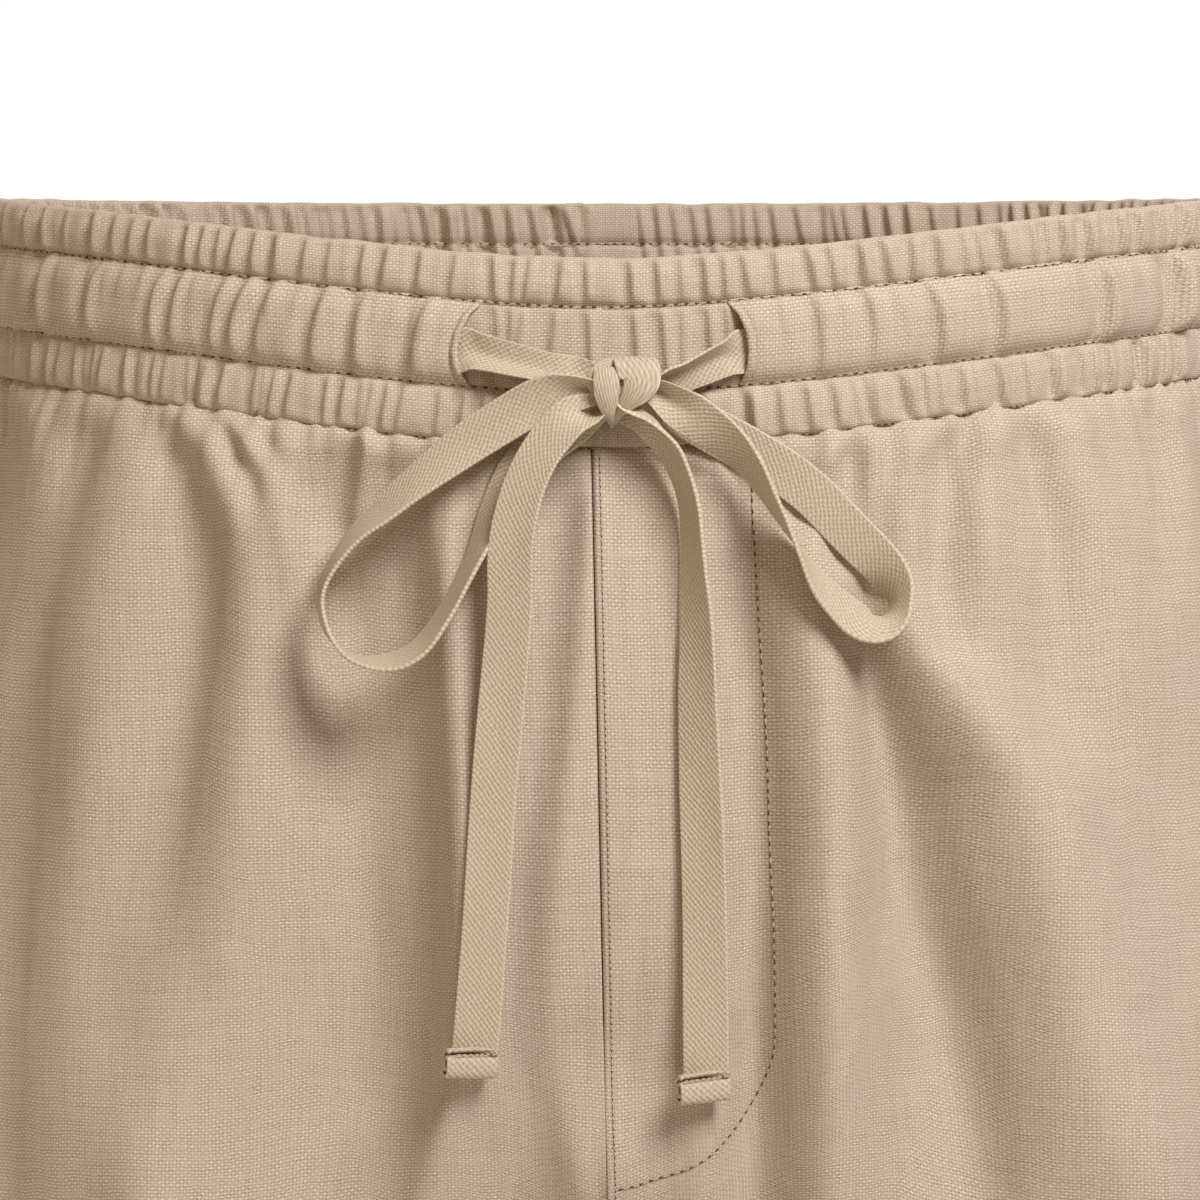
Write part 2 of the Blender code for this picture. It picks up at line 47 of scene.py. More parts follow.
waistForm = {
    "halfWidth": 163, "halfDepth": 106,  # the ellipse that the elastic holds
    "rimMean": 8, "rimTilt": 1, "frontDip": 17, "dipSpread": 45, "dipPower": 1.68,
    "bandHeight": 45.4, "bandWall": 3.0,
    "topStitchDrop": 11.7, "lowStitchDrop": 32.2,  # the two rows that hold the drawcord channel
}

bodyForm = {
    "crotchHeight": -285, "hemHeight": -475, "hemRiseAtSide": 6, "riseCurveStart": 0.76,
    "legBlend": (0.35, 0.90), "centreHold": 6, "seamStart": -2.0, "seamDrift": 4.8, "driftUntil": 0.8,
    "seamGap": 0.3,
    # level 0 is the waist seam and 1 the crotch
    "trunk": {
        "level": (0.00, 0.12, 0.40, 0.70, 1.00),
        "halfWidth": (163, 173, 190, 200, 203),
        "front": (106, 110, 114.5, 115.5, 109),
        "back": (106, 113, 132, 138, 132),
    },
    # level 2 is the hem
    "leg": {
        "level": (0.3, 0.7, 1.0, 1.4, 2.0),
        "halfWidth": (98.0, 100.5, 101.0, 100.0, 97.0),
        "front": (114.0, 112.0, 106.5, 101.5, 97.0),
        "back": (130.0, 134.0, 127.0, 115.0, 102.0),
        "innerGap": (0.0, 0.0, 0.0, 3.5, 14.0),
    },
}


def smoothStep(amount):
    amount = np.clip(amount, 0, 1)
    return amount * amount * (3 - 2 * amount)


def bump(distance, width):
    # A bell: one at no distance, fading over the width.
    return np.exp(-((distance / width) ** 2))


def smoothCurve(levels, sizes, level):
    # A smooth cubic through sizes at levels, held at the first and last size.
    levels, sizes = np.array(levels, float), np.array(sizes, float)
    slopes = np.gradient(sizes, levels)
    span = np.clip(np.searchsorted(levels, level, side="right") - 1, 0, len(levels) - 2)
    step = levels[span + 1] - levels[span]
    along = np.clip((level - levels[span]) / step, 0, 1)
    rise = sizes[span + 1] - sizes[span]
    curve = 3 * along**2 - 2 * along**3
    start = along**3 - 2 * along**2 + along
    end = along**3 - along**2
    return sizes[span] + rise * curve + step * (slopes[span] * start + slopes[span + 1] * end)


def sectionSize(section, column, level):
    return smoothCurve(bodyForm[section]["level"], bodyForm[section][column], level)


def curveThrough(rows, steps):
    # A Catmull-Rom curve through the rows, with an even number of steps between each two.
    rows = np.asarray(rows, float)
    padded = np.concatenate([[2 * rows[0] - rows[1]], rows, [2 * rows[-1] - rows[-2]]])
    t = (np.arange(steps) / steps)[None, :, None]
    before, start, end, after = (padded[k : len(padded) - 3 + k, None, :] for k in range(4))
    bend = 2 * before - 5 * start + 4 * end - after
    twist = 3 * start - before - 3 * end + after
    curve = 0.5 * (2 * start + (end - before) * t + bend * t**2 + twist * t**3)
    return np.concatenate([curve.reshape(-1, rows.shape[1]), rows[-1:]])


def lengthAlong(points, axis=0):
    # How far each point lies along its line from the line's first point.
    steps = np.linalg.norm(np.diff(points, axis=axis), axis=-1)
    return np.concatenate([0 * np.take(steps, [0], axis=axis), np.cumsum(steps, axis=axis)], axis=axis)


def unit(values):
    return values / np.linalg.norm(values, axis=-1, keepdims=True)


def rimHeight(turn):
    # The band's top edge: nearly level, with a rounded dip at centre front (turn 0).
    away = np.abs(np.arctan2(np.sin(turn), np.cos(turn))) / math.radians(waistForm["dipSpread"])
    dip = waistForm["frontDip"] * np.exp(-(away ** waistForm["dipPower"]))
    return waistForm["rimMean"] - waistForm["rimTilt"] * np.cos(turn) - dip


frontRim = rimHeight(0.0)


def waistPoint(turn, drop, out):
    # A point of the waist ellipse at a drop below the rim, moved out along the ellipse's normal.
    halfWidth, halfDepth = waistForm["halfWidth"], waistForm["halfDepth"]
    normalX, normalY = np.sin(turn) * halfDepth, -np.cos(turn) * halfWidth
    length = np.hypot(normalX, normalY)
    x = halfWidth * np.sin(turn) + out * normalX / length
    y = -halfDepth * np.cos(turn) + out * normalY / length
    return np.stack([x, y, rimHeight(turn) - drop], axis=-1)


# Distance round the waist from centre front, towards the wearer's left, against the turn.
turnSteps = np.linspace(-math.pi, math.pi, 8001)
arcSteps = np.hypot(
    np.diff(waistForm["halfWidth"] * np.sin(turnSteps)), np.diff(waistForm["halfDepth"] * np.cos(turnSteps))
)
arcSteps = np.concatenate([[0], np.cumsum(arcSteps)])
roundWaist = arcSteps[-1]
arcSteps -= roundWaist / 2


def fromCentre(around):
    # The same place round the waist, as its distance from centre front by the shorter way.
    return (around + roundWaist / 2) % roundWaist - roundWaist / 2


def turnAt(around):
    # The turn at a distance round the waist.
    return np.interp(fromCentre(around), arcSteps, turnSteps)


def aroundAt(turn):
    return np.interp(turn, turnSteps, arcSteps)


def unevenWaves(across, along, size, seed):
    # A sum of twelve sine waves in seeded directions, about one high and one size long.
    chance = np.random.default_rng(seed)
    total = 0 * across + 0 * along
    for _ in range(12):
        heading, phase = chance.uniform(0, 2 * math.pi, 2)
        length = size * chance.uniform(0.6, 1.9)
        travelled = across * math.cos(heading) + along * math.sin(heading)
        total = total + np.sin(2 * math.pi * travelled / length + phase)
    return total / 3.5


def putMesh(name, points, faces, uv, closed=True, joinedAt=None):
    # Points in millimetres and faces as rows of corners go into one smooth mesh, with a place on the cloth
    # for each point. A closed skin has its faces turned outwards. On a ring, the cloth's places start again
    # after joinedAt millimetres, so the faces that close it carry on past that.
    mesh = bpy.data.meshes.new(name)
    mesh.from_pydata((np.asarray(points).reshape(-1, 3) * mm).tolist(), [], faces)
    if closed:
        shaper = bmesh.new()
        shaper.from_mesh(mesh)
        bmesh.ops.recalc_face_normals(shaper, faces=shaper.faces[:])
        shaper.to_mesh(mesh)
        shaper.free()
    corners = np.empty(len(mesh.loops), np.int64)
    mesh.loops.foreach_get("vertex_index", corners)
    layer = mesh.uv_layers.new(name="clothMillimetres")
    places = np.asarray(uv, np.float32).reshape(-1, 2)[corners]
    if joinedAt:
        across = places[:, 0].reshape(-1, 4)
        late = (across.max(axis=1, keepdims=True) - across) > joinedAt / 2
        places[:, 0] += (late * joinedAt).ravel()
    layer.data.foreach_set("uv", places.ravel())
    mesh.polygons.foreach_set("use_smooth", [True] * len(mesh.polygons))
    made = bpy.data.objects.new(name, mesh)
    bpy.context.scene.collection.objects.link(made)
    return made


def gridFaces(rows, columns, closedAcross=False, closedAlong=False):
    # Four-cornered faces of a grid whose points run row by row.
    alongRows = np.arange(rows if closedAlong else rows - 1)
    alongColumns = np.arange(columns if closedAcross else columns - 1)
    row, column = np.meshgrid(alongRows, alongColumns, indexing="ij")
    nextRow, nextColumn = (row + 1) % rows * columns, (column + 1) % columns
    row = row * columns
    faces = [row + column, nextRow + column, nextRow + nextColumn, row + nextColumn]
    return np.stack([corner.ravel() for corner in faces], axis=-1).tolist()


def joinSkins(skins):
    # Several skins, each its points and its faces, as one array of points and one list of faces.
    points, faces, first = [], [], 0
    for skinPoints, skinFaces in skins:
        points.append(skinPoints.reshape(-1, 3))
        faces += [[corner + first for corner in face] for face in skinFaces]
        first += len(points[-1])
    return np.concatenate(points), faces


def addWall(piece, thickness):
    # The sheet's own wall, grown inwards from the face that shows.
    wall = piece.modifiers.new("clothWall", "SOLIDIFY")
    wall.thickness = thickness * mm
    wall.offset = -1
    wall.use_even_offset = False
    return piece


def settle(piece, slot, *nodes):
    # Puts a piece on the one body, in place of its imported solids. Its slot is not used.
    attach(piece, "root")
    if nodes:
        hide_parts(*nodes)
    return piece


def plainForm(side, part, level):
    # The body before its folds. part runs from 0 at centre front, by 0.5 at the side seam, to 1 at centre
    # back. The trunk's half ellipse turns into a leg's, whose inner side starts from the crotch curve.
    turn = np.pi * part
    trunk = np.clip(level, 0, 1)
    atFront = part < 0.5
    depth = np.where(atFront, sectionSize("trunk", "front", trunk), sectionSize("trunk", "back", trunk))
    trunkX = sectionSize("trunk", "halfWidth", trunk) * np.sin(turn)
    trunkY = -depth * np.cos(turn)
    legDepth = np.where(atFront, sectionSize("leg", "front", level), sectionSize("leg", "back", level))
    legGap = np.maximum(sectionSize("leg", "innerGap", level), 0)
    legX = legGap + sectionSize("leg", "halfWidth", level) * (1 - np.cos(2 * turn))
    rise = np.clip((trunk - bodyForm["riseCurveStart"]) / (1 - bodyForm["riseCurveStart"]), 0, 1)
    crotchCurve = depth * np.sqrt(1 - rise**2)
    bulge = np.abs(np.sin(2 * turn))
    legY = legDepth * bulge + np.where(np.abs(part - 0.5) > 0.25, crotchCurve * (1 - bulge), 0)
    legY = np.where(atFront, -legY, legY)
    fromLevel, toLevel = bodyForm["legBlend"]
    blend = smoothStep((trunk - fromLevel) / (toLevel - fromLevel))
    fading = smoothStep((level - bodyForm["driftUntil"]) / (1 - bodyForm["driftUntil"]))
    centre = (bodyForm["seamStart"] + bodyForm["seamDrift"] * trunk) * (1 - fading)
    centre = centre * np.abs(np.cos(turn)) ** bodyForm["centreHold"] * atFront
    x = side * ((1 - blend) * trunkX + blend * legX) + centre
    y = (1 - blend) * trunkY + blend * legY
    seam = rimHeight(turn) - waistForm["bandHeight"] - bodyForm["seamGap"]
    hem = bodyForm["hemHeight"] + bodyForm["hemRiseAtSide"] * np.sin(turn) ** 2
    trunkZ = seam + (bodyForm["crotchHeight"] - seam) * trunk
    legZ = bodyForm["crotchHeight"] + (hem - bodyForm["crotchHeight"]) * (level - 1)
    z = np.where(level < 1, trunkZ, legZ)
    return np.stack([x, y, z], axis=-1), seam - z


def outward(side, part, level):
    # Unit normals of the plain body, from small steps along its two directions.
    small = 1e-4

    def between(onward, downward):
        here = plainForm(side, np.clip(part + onward, 0, 1), np.clip(level + downward, 0, 2))[0]
        return here - plainForm(side, np.clip(part - onward, 0, 1), np.clip(level - downward, 0, 2))[0]

    roundStep, downStep = between(small, 0), between(0, small)
    normal = np.cross(roundStep, downStep) * -side
    edge = (part < 1e-6) | (part > 1 - 1e-6)
    normal[..., 0] = np.where(edge & (level < 1), 0, normal[..., 0])
    alongEdge = np.stack([0 * part, -downStep[..., 2], downStep[..., 1]], axis=-1)
    alongEdge = alongEdge * np.where(part < 0.5, -1, 1)[..., None]
    normal = np.where((edge & (level < 1))[..., None], alongEdge, normal)
    inseam = np.stack([-side + 0 * part, 0 * part, 0 * part], axis=-1)
    normal = np.where((edge & (level > 1))[..., None], inseam, normal)
    crotch = np.stack([-side + 0 * part, 0 * part, -1 + 0 * part], axis=-1)
    normal = np.where((edge & (np.abs(level - 1) < 1e-6))[..., None], crotch, normal)
    return unit(normal)


def bodyPlace(side, x, z):
    # part and level of the plain front at a place seen from the front, by Newton's steps.
    part = np.arcsin(np.clip(np.abs(x) / waistForm["halfWidth"], 0, 0.98)) / math.pi
    seam = rimHeight(math.pi * part) - waistForm["bandHeight"]
    level = np.clip((z - seam) / (bodyForm["crotchHeight"] - seam), 0, 0.98)
    for _ in range(14):
        here = plainForm(side, part, level)[0]
        wider = plainForm(side, part + 1e-3, level)[0]
        lower = plainForm(side, part, level + 1e-3)[0]
        part = np.clip(part + (x - here[..., 0]) / (wider[..., 0] - here[..., 0]) * 1e-3, 0, 0.49)
        level = np.clip(level + (z - here[..., 2]) / (lower[..., 2] - here[..., 2]) * 1e-3, 0, 1)
    return part, level


def clothDepth(x, z):
    # Y of the plain front at a place, on the band above the waist seam and on the body below it.
    part = np.arcsin(np.clip(np.abs(x) / waistForm["halfWidth"], 0, 1)) / math.pi
    bandDepth = -waistForm["halfDepth"] * np.cos(math.pi * part)
    bodyDepth = 0 * x
    for side in (1, -1):
        depth = plainForm(side, *bodyPlace(side, x, z))[0][..., 1]
        bodyDepth = np.where((x >= 0) == (side > 0), depth, bodyDepth)
    seam = rimHeight(math.pi * part) - waistForm["bandHeight"]
    return np.where(z > seam, bandDepth, bodyDepth)


# The camera looks slightly down at the tied bow, as a shop's close-up does.
view = {"aim": (0, -106, -91.8), "distance": 960, "elevation": 4, "focalLength": 120}
lens = bpy.data.cameras.new("closeUpLens")
lens.lens = view["focalLength"]
lens.clip_start, lens.clip_end = 0.05, 30
camera = bpy.data.objects.new("closeUpCamera", lens)
bpy.context.scene.collection.objects.link(camera)
tilt = math.radians(view["elevation"])
camera.location = (
    view["aim"][0] * mm,
    (view["aim"][1] - view["distance"] * math.cos(tilt)) * mm,
    (view["aim"][2] + view["distance"] * math.sin(tilt)) * mm,
)
camera.rotation_euler = (math.pi / 2 - tilt, 0, 0)
bpy.context.scene.camera = camera

# The drawstring. Each stop is the middle of the tape: across, drop below the front rim, distance off the
# cloth, and roll in degrees, where 0 lies flat on the cloth and 90 stands on edge.
tapeMake = {
    "width": 11.0, "wall": 1.0, "edgeWall": 1.08, "edgeAt": 0.93, "edgeSpread": 0.06, "steps": 8,
    "gripFold": 62, "gripFrom": 4, "gripReach": 16.0, "waveLength": 38, "waveFold": 5, "waveWidth": 0.015,
    "foldAfter": (3, 6), "openAfter": (24, 14),
}
knotMiddle = {"x": 5.8, "drop": 31.5}
stringRoutes = {
    "runRight": (
        (-37, 21.8, 1, 0), (-32.5, 22, 1.3, 2), (-27, 23.2, 2.5, 16), (-20.4, 25, 3.6, 26),
        (-13.5, 26.8, 4.6, 34), (-7.4, 28, 5, 36), (-2.6, 28.9, 5.3, 36),
    ),
    "runLeft": (
        (38, 21.9, 1, 0), (33.8, 22.3, 1.3, 3), (29, 23.8, 2.6, 22), (24, 25.8, 3.8, 34),
        (19.4, 27.6, 4.8, 42), (13.7, 29.1, 5.9, 42),
    ),
    "loopRight": (
        (3.4, 31, 8.2, 10), (-2.4, 31.2, 9.2, 18), (-8, 31.9, 9.9, 20), (-14.2, 33.6, 9.6, 6),
        (-21.4, 37.6, 8.8, -12), (-32.4, 44.8, 7.8, -26), (-44.4, 53.8, 7.2, -48), (-51.6, 60.2, 7, -60),
        (-57.6, 65.2, 6.8, -70), (-62.8, 71.4, 6.6, -77), (-66.2, 77.8, 6.5, -80),
        (-66.8, 83.4, 6.4, -80), (-64.4, 90.2, 6.4, -82), (-58.8, 95, 6.4, -92), (-50.2, 96, 6.4, -106),
        (-43, 92.4, 6.4, -110), (-36.8, 84, 6.4, -108), (-31.8, 74.8, 6.4, -108),
        (-28.6, 68.2, 6.2, -114), (-24.6, 59.6, 5.2, -132), (-19.4, 50.8, 3.9, -154),
        (-12, 43.2, 3, -170), (-5.4, 38.6, 3.6, -175), (0.6, 35, 5.2, -175), (5.4, 32.4, 7, -175),
    ),
    "loopLeft": (
        (9, 29.4, 8.2, -10), (14, 31.8, 9.4, -10), (18.6, 35, 10.2, -14), (24, 38.8, 10.8, -20),
        (31, 44.2, 10.9, -40), (36.2, 50, 10.7, -60), (39.8, 56, 10.2, -72), (43.8, 63, 9.7, -82),
        (47.6, 69.8, 9.5, -96), (52.2, 77.4, 9, -116), (57, 82.6, 8.2, -128), (61.8, 86.4, 7.6, -134),
        (66.6, 87.6, 7.1, -126), (70.4, 85.8, 6.3, -112), (71.8, 82.2, 5.4, -116), (71, 78.2, 5.2, -134),
        (68.4, 74.2, 5.1, -152), (64.4, 70, 5, -166), (58.8, 64.4, 4.8, -172), (52, 57.4, 4.5, -176),
        (44.6, 51.4, 3.9, -177), (36.6, 46.4, 3.2, -176), (27.8, 41.6, 2.5, -176),
        (20.6, 37.6, 2.8, -178), (13, 34, 4.4, -178), (7, 31.6, 6.4, -178),
    ),
    "throughRight": ((0.4, 30.6, 6, 30), (2.4, 32.8, 7.2, -10)),
    "throughLeft": ((8, 31, 6.6, 32), (3, 33.6, 7.6, 0)),
    "tailRight": (
        (-1.7, 36.2, 8.9, -24), (-7.4, 38.4, 12.2, -30), (-13.4, 45, 13.2, -30), (-17.5, 52.9, 13, -26),
        (-19.9, 61.1, 12.4, -20), (-21.2, 70, 11.2, -14), (-21.4, 82.3, 8.8, -9), (-23, 101.5, 5.6, -6),
        (-25.4, 128, 4.2, -4), (-27.1, 154.5, 4, 0), (-29, 179, 4, 0), (-30, 189.8, 4, 0),
    ),
    "tailLeft": (
        (5, 35, 8.4, -50), (11.4, 38.7, 9.4, -58), (16.2, 45, 9, -62), (19.6, 52.2, 8.2, -66),
        (21.4, 59.4, 7.4, -66), (21.9, 66.4, 6.8, -64), (22.4, 75.6, 6.4, -58), (22.9, 83.8, 6, -50),
        (23.2, 95.5, 5.5, -41), (23.3, 106.3, 5.1, -34), (23.8, 121, 4.8, -27), (24.5, 137.6, 4.6, -21),
        (25, 160.5, 4.5, -13), (25.2, 184, 4.5, -3), (25.4, 195.4, 4.5, 0),
    ),
}


def smoothRoute(stops):
    # Middles in space and rolls in radians, close together along a stretch of the tape.
    stops = np.array(stops, float)
    x, z = stops[:, 0], frontRim - stops[:, 1]
    rows = np.column_stack([x, clothDepth(x, z) - stops[:, 2], z, np.radians(stops[:, 3])])
    curve = curveThrough(rows, tapeMake["steps"])
    return curve[:, :3], curve[:, 3]


def tapeFrames(middles, rolls):
    # Direction along the tape, across it, and out of its face at each middle.
    along = unit(np.gradient(middles, axis=0))
    inPlane = unit(np.cross(along, np.array([0.0, -1.0, 0.0])))
    out = np.cross(inPlane, along)
    wide = np.cos(rolls)[:, None] * inPlane + np.sin(rolls)[:, None] * out
    return along, wide, np.cross(wide, along)


def ribbon(middles, wide, face, halfWidth, cup, rounding=0.03):
    # A closed tape: its cross-section goes over the face from one selvedge to the other and back behind.
    # cup folds the two halves forward by that angle, and the wall is thicker along the selvedges.
    wall, edgeWall = tapeMake["wall"], tapeMake["edgeWall"]
    half = np.array([0.2, 0.4, 0.6, 0.78, 0.88, 0.95, 0.985, 1])
    across = np.concatenate([-half[::-1], [0], half])
    thickness = wall + (edgeWall - wall) * bump(np.abs(across) - tapeMake["edgeAt"], tapeMake["edgeSpread"])
    thickness = thickness * np.sqrt(np.clip(1 - np.abs(across) ** 40, 0.05, 1))
    ring = np.concatenate([across, across[-2:0:-1]])
    skin = np.concatenate([thickness, -thickness[-2:0:-1]]) / 2
    fold = np.sqrt(ring**2 + rounding) - 0.5 * math.sqrt(1 + rounding)
    sideways = ring * (halfWidth * np.cos(cup))[:, None]
    forward = fold * (halfWidth * np.sin(cup))[:, None] + skin
    points = middles[:, None] + wide[:, None] * sideways[..., None] + face[:, None] * forward[..., None]
    travelled = lengthAlong(middles)[:, None]
    uv = np.stack(np.broadcast_arrays(ring * tapeMake["width"] / 2, travelled), axis=-1)
    return points, uv


def ribbonFaces(rings, corners):
    # The ribbon's skin, with its two cut ends closed by strips from the front to the back.
    front = np.arange(corners // 2 + 1)
    back = (corners - front) % corners
    cap = np.stack([front[:-1], front[1:], back[1:], back[:-1]], axis=-1)
    caps = np.concatenate([cap, cap + (rings - 1) * corners]).tolist()
    ends = [list(dict.fromkeys(face)) for face in caps]
    return gridFaces(rings, corners, closedAcross=True) + ends


def tape(name, stops, seed, folded, farEnd, onIt, *nodes):
    # One stretch of the drawstring, carried along its stops, folded together where the knot grips it. folded
    # is the angle that its start is folded by, as it comes out of the channel.
    middles, rolls = smoothRoute(stops)
    _, wide, face = tapeFrames(middles, rolls)
    fromKnot = np.hypot(middles[:, 0] - knotMiddle["x"], frontRim - middles[:, 2] - knotMiddle["drop"])
    grip = 1 - smoothStep((fromKnot - tapeMake["gripFrom"]) / tapeMake["gripReach"])
    travelled = lengthAlong(middles)
    wave = unevenWaves(travelled, 0 * travelled, tapeMake["waveLength"], seed)
    cup = np.radians(tapeMake["gripFold"]) * grip + np.radians(tapeMake["waveFold"]) * wave * (1 - grip)
    mouth = tapeMake["foldAfter"], tapeMake["openAfter"]
    folding, opening = (smoothStep((travelled - start) / reach) for start, reach in mouth)
    cup = np.maximum(cup, np.radians(folded) * folding * (1 - opening))
    halfWidth = tapeMake["width"] / 2 * (1 + tapeMake["waveWidth"] * wave)
    points, uv = ribbon(middles, wide, face, halfWidth, cup)
    made = settle(putMesh(name, points, ribbonFaces(*points.shape[:2]), uv), "twill_tape", *nodes)
    return made


endRoll = {
    "width": 13.0, "length": 8.8, "thickness": 5.0, "forward": 1.5, "onward": 2.4, "turns": 1.75,
    "wall": 1.15, "grooveAt": -2.9, "grooveDepth": 0.9, "grooveWidth": 0.55, "aside": 0.7, "yaw": 24,
    "coreShare": 0.3, "startAngle": 0.5, "roundness": 0.75, "uvHalf": 5.0,
}


def rolledEnd(name, tail, node):
    # The tail's end rolled on itself and stitched down: a flattened spiral carried across the tape, pinched
    # along the stitches just below the roll's upper edge, and turned so that its coil shows.
    middles, rolls = smoothRoute(stringRoutes[tail])
    along, wide, face = (values[-1] for values in tapeFrames(middles, rolls))
    yaw = math.radians(endRoll["yaw"])
    centre = middles[-1] + along * endRoll["onward"] + face * endRoll["forward"] + wide * endRoll["aside"]
    wide, face = wide * math.cos(yaw) + face * math.sin(yaw), face * math.cos(yaw) - wide * math.sin(yaw)
    swing = np.linspace(0, 2 * math.pi * endRoll["turns"], 70)
    share = endRoll["coreShare"] + (1 - endRoll["coreShare"]) * swing / swing[-1]
    heading = swing - swing[-1] + endRoll["startAngle"]
    outer = np.stack([-np.cos(heading), np.sin(heading)], axis=-1)
    outer = np.sign(outer) * np.abs(outer) ** endRoll["roundness"] * share[:, None]
    outer = outer * [endRoll["length"] / 2, endRoll["thickness"] / 2]
    size = np.linalg.norm(outer, axis=-1, keepdims=True)
    inner = outer * np.maximum(size - endRoll["wall"] * 0.75, 0.15) / size
    profile = np.concatenate([outer, inner[::-1]])
    pinch = endRoll["grooveDepth"] * bump(profile[:, 0] - endRoll["grooveAt"], endRoll["grooveWidth"])
    pinch = pinch * (profile[:, 1] > 0.8)
    half = np.array([0.25, 0.5, 0.7, 0.85, 0.95, 0.985, 1])
    across = np.concatenate([-half[::-1], [0], half])
    shrink = (1 - 0.07 * np.abs(across) ** 20) * (1 - 0.03 * across + 0.02 * np.cos(5 * across))
    pinch = pinch * smoothStep((0.97 - np.abs(across)) / 0.1)[:, None]
    points = (
        centre
        + wide * (across * endRoll["width"] / 2)[:, None, None]
        + along * (profile[:, 0] * shrink[:, None])[..., None]
        + face * (profile[:, 1] * shrink[:, None] - pinch)[..., None]
    )
    corners = len(profile)
    travelled = lengthAlong(outer)
    travelled = np.concatenate([travelled, travelled[::-1]])
    uv = np.stack(np.broadcast_arrays(across[:, None] * endRoll["uvHalf"], travelled), axis=-1)
    turned = np.arange(len(swing) - 1)
    cap = np.stack([turned, turned + 1, corners - 2 - turned, corners - 1 - turned], axis=-1)
    faces = gridFaces(len(across), corners, closedAcross=True)
    faces += np.concatenate([cap, cap + (len(across) - 1) * corners]).tolist()
    made = settle(putMesh(name, points, faces, uv), "twill_tape", node)
    seam = np.linspace(-0.9, 0.9, 40)[:, None]
    lift = endRoll["thickness"] / 2 - endRoll["grooveDepth"] - 0.1
    path = centre + wide * seam * endRoll["width"] / 2 + along * endRoll["grooveAt"] + face * lift
    return made, path, face + 0 * path


# The knot: the broad wrap over the front, the arch beside it, the bulge behind that, and a core. Stops as
# above, but with the strip's half width, its fold and the slant of its width in degrees.
knotStrips = {
    "wrap": (
        (8.8, 28.5, 3, 4.6, 0, 0), (8.6, 25, 5, 4.9, 0, 0), (8.2, 23.8, 8, 5, -4, 0),
        (8.3, 24.3, 10.6, 5.1, -8, -2), (9.2, 26.4, 12.4, 5.3, -12, -6), (9.6, 29, 13.3, 4.9, -16, -16),
        (8.7, 31.4, 13.4, 4, -20, -28), (7, 33.6, 12.7, 2.9, -24, -37), (5.2, 35.6, 11.4, 2, -28, -38),
        (3.9, 37.6, 9.8, 1.3, -34, -30), (3.2, 39.2, 7.6, 1, -36, -20),
    ),
    "arch": (
        (2.4, 29.6, 6.6, 2.2, 0, 0), (1.9, 27.2, 8.4, 2.6, 0, 0), (1.6, 26.1, 10.6, 2.9, -10, 0),
        (1.5, 27.2, 12.5, 3.2, -18, 0), (1.5, 29.8, 13.5, 3.4, -24, 0), (1.6, 32.6, 13.5, 3.3, -28, 6),
        (1.9, 35.2, 12.7, 2.7, -32, 12), (2.3, 37.4, 11.4, 1.8, -38, 18), (2.7, 39, 9.4, 1.1, -44, 22),
        (2.9, 39.8, 7.2, 0.8, -44, 22),
    ),
    "bulge": (
        (5, 25.6, 8, 1.8, 0, -100), (2.8, 25.9, 9.6, 2.3, -14, -85), (0.8, 26.9, 10.8, 2.6, -22, -62),
        (-0.6, 28.3, 11.2, 2.7, -26, -30), (-1.1, 29.8, 10.8, 2.4, -26, 0),
        (-0.4, 31.2, 9.4, 1.8, -20, 40), (1, 32, 7.6, 1.2, 0, 60),
    ),
}
knotCore = {"x": 5.4, "drop": 31.4, "off": 7.2, "half": (6.6, 4.6, 5.6), "rings": 20, "corners": 32}


def knotSurface():
    # The three strips and a rounded core between them, as one mesh of closed skins.
    base = clothDepth(np.array([knotMiddle["x"]]), np.array([frontRim - knotMiddle["drop"]]))
    skins, places = [], []
    for stops in knotStrips.values():
        stops = np.array(stops, float)
        rows = np.column_stack([stops[:, 0], base - stops[:, 2], frontRim - stops[:, 1], stops[:, 3:]])
        curve = curveThrough(rows, 10)
        middles, halfWidth = curve[:, :3], curve[:, 3]
        cup, slant = np.radians(curve[:, 4:]).T
        along = unit(np.gradient(middles, axis=0))
        wide = np.stack([-np.cos(slant), 0 * slant, -np.sin(slant)], axis=-1)
        wide = unit(wide - along * (wide * along).sum(axis=1, keepdims=True))
        points, uv = ribbon(middles, wide, np.cross(wide, along), halfWidth, cup, 0.7)
        skins.append((points, ribbonFaces(*points.shape[:2])))
        places.append((uv * [1, 0.35]).reshape(-1, 2))
    rings, corners = knotCore["rings"], knotCore["corners"]
    up, turn = np.meshgrid(
        np.linspace(0.02, math.pi - 0.02, rings), np.arange(corners) * 2 * math.pi / corners, indexing="ij"
    )
    wide, deep, high = knotCore["half"]
    core = np.stack([
        knotCore["x"] + wide * np.sin(up) * np.cos(turn),
        base - knotCore["off"] + deep * np.sin(up) * np.sin(turn),
        frontRim - knotCore["drop"] + high * np.cos(up),
    ], axis=-1)
    ends = [list(range(corners)), list(range((rings - 1) * corners, rings * corners))]
    skins.append((core, gridFaces(rings, corners, closedAcross=True) + ends))
    places.append(np.stack([turn * high, up * high], axis=-1).reshape(-1, 2))
    return putMesh("tiedKnot", *joinSkins(skins), np.concatenate(places))


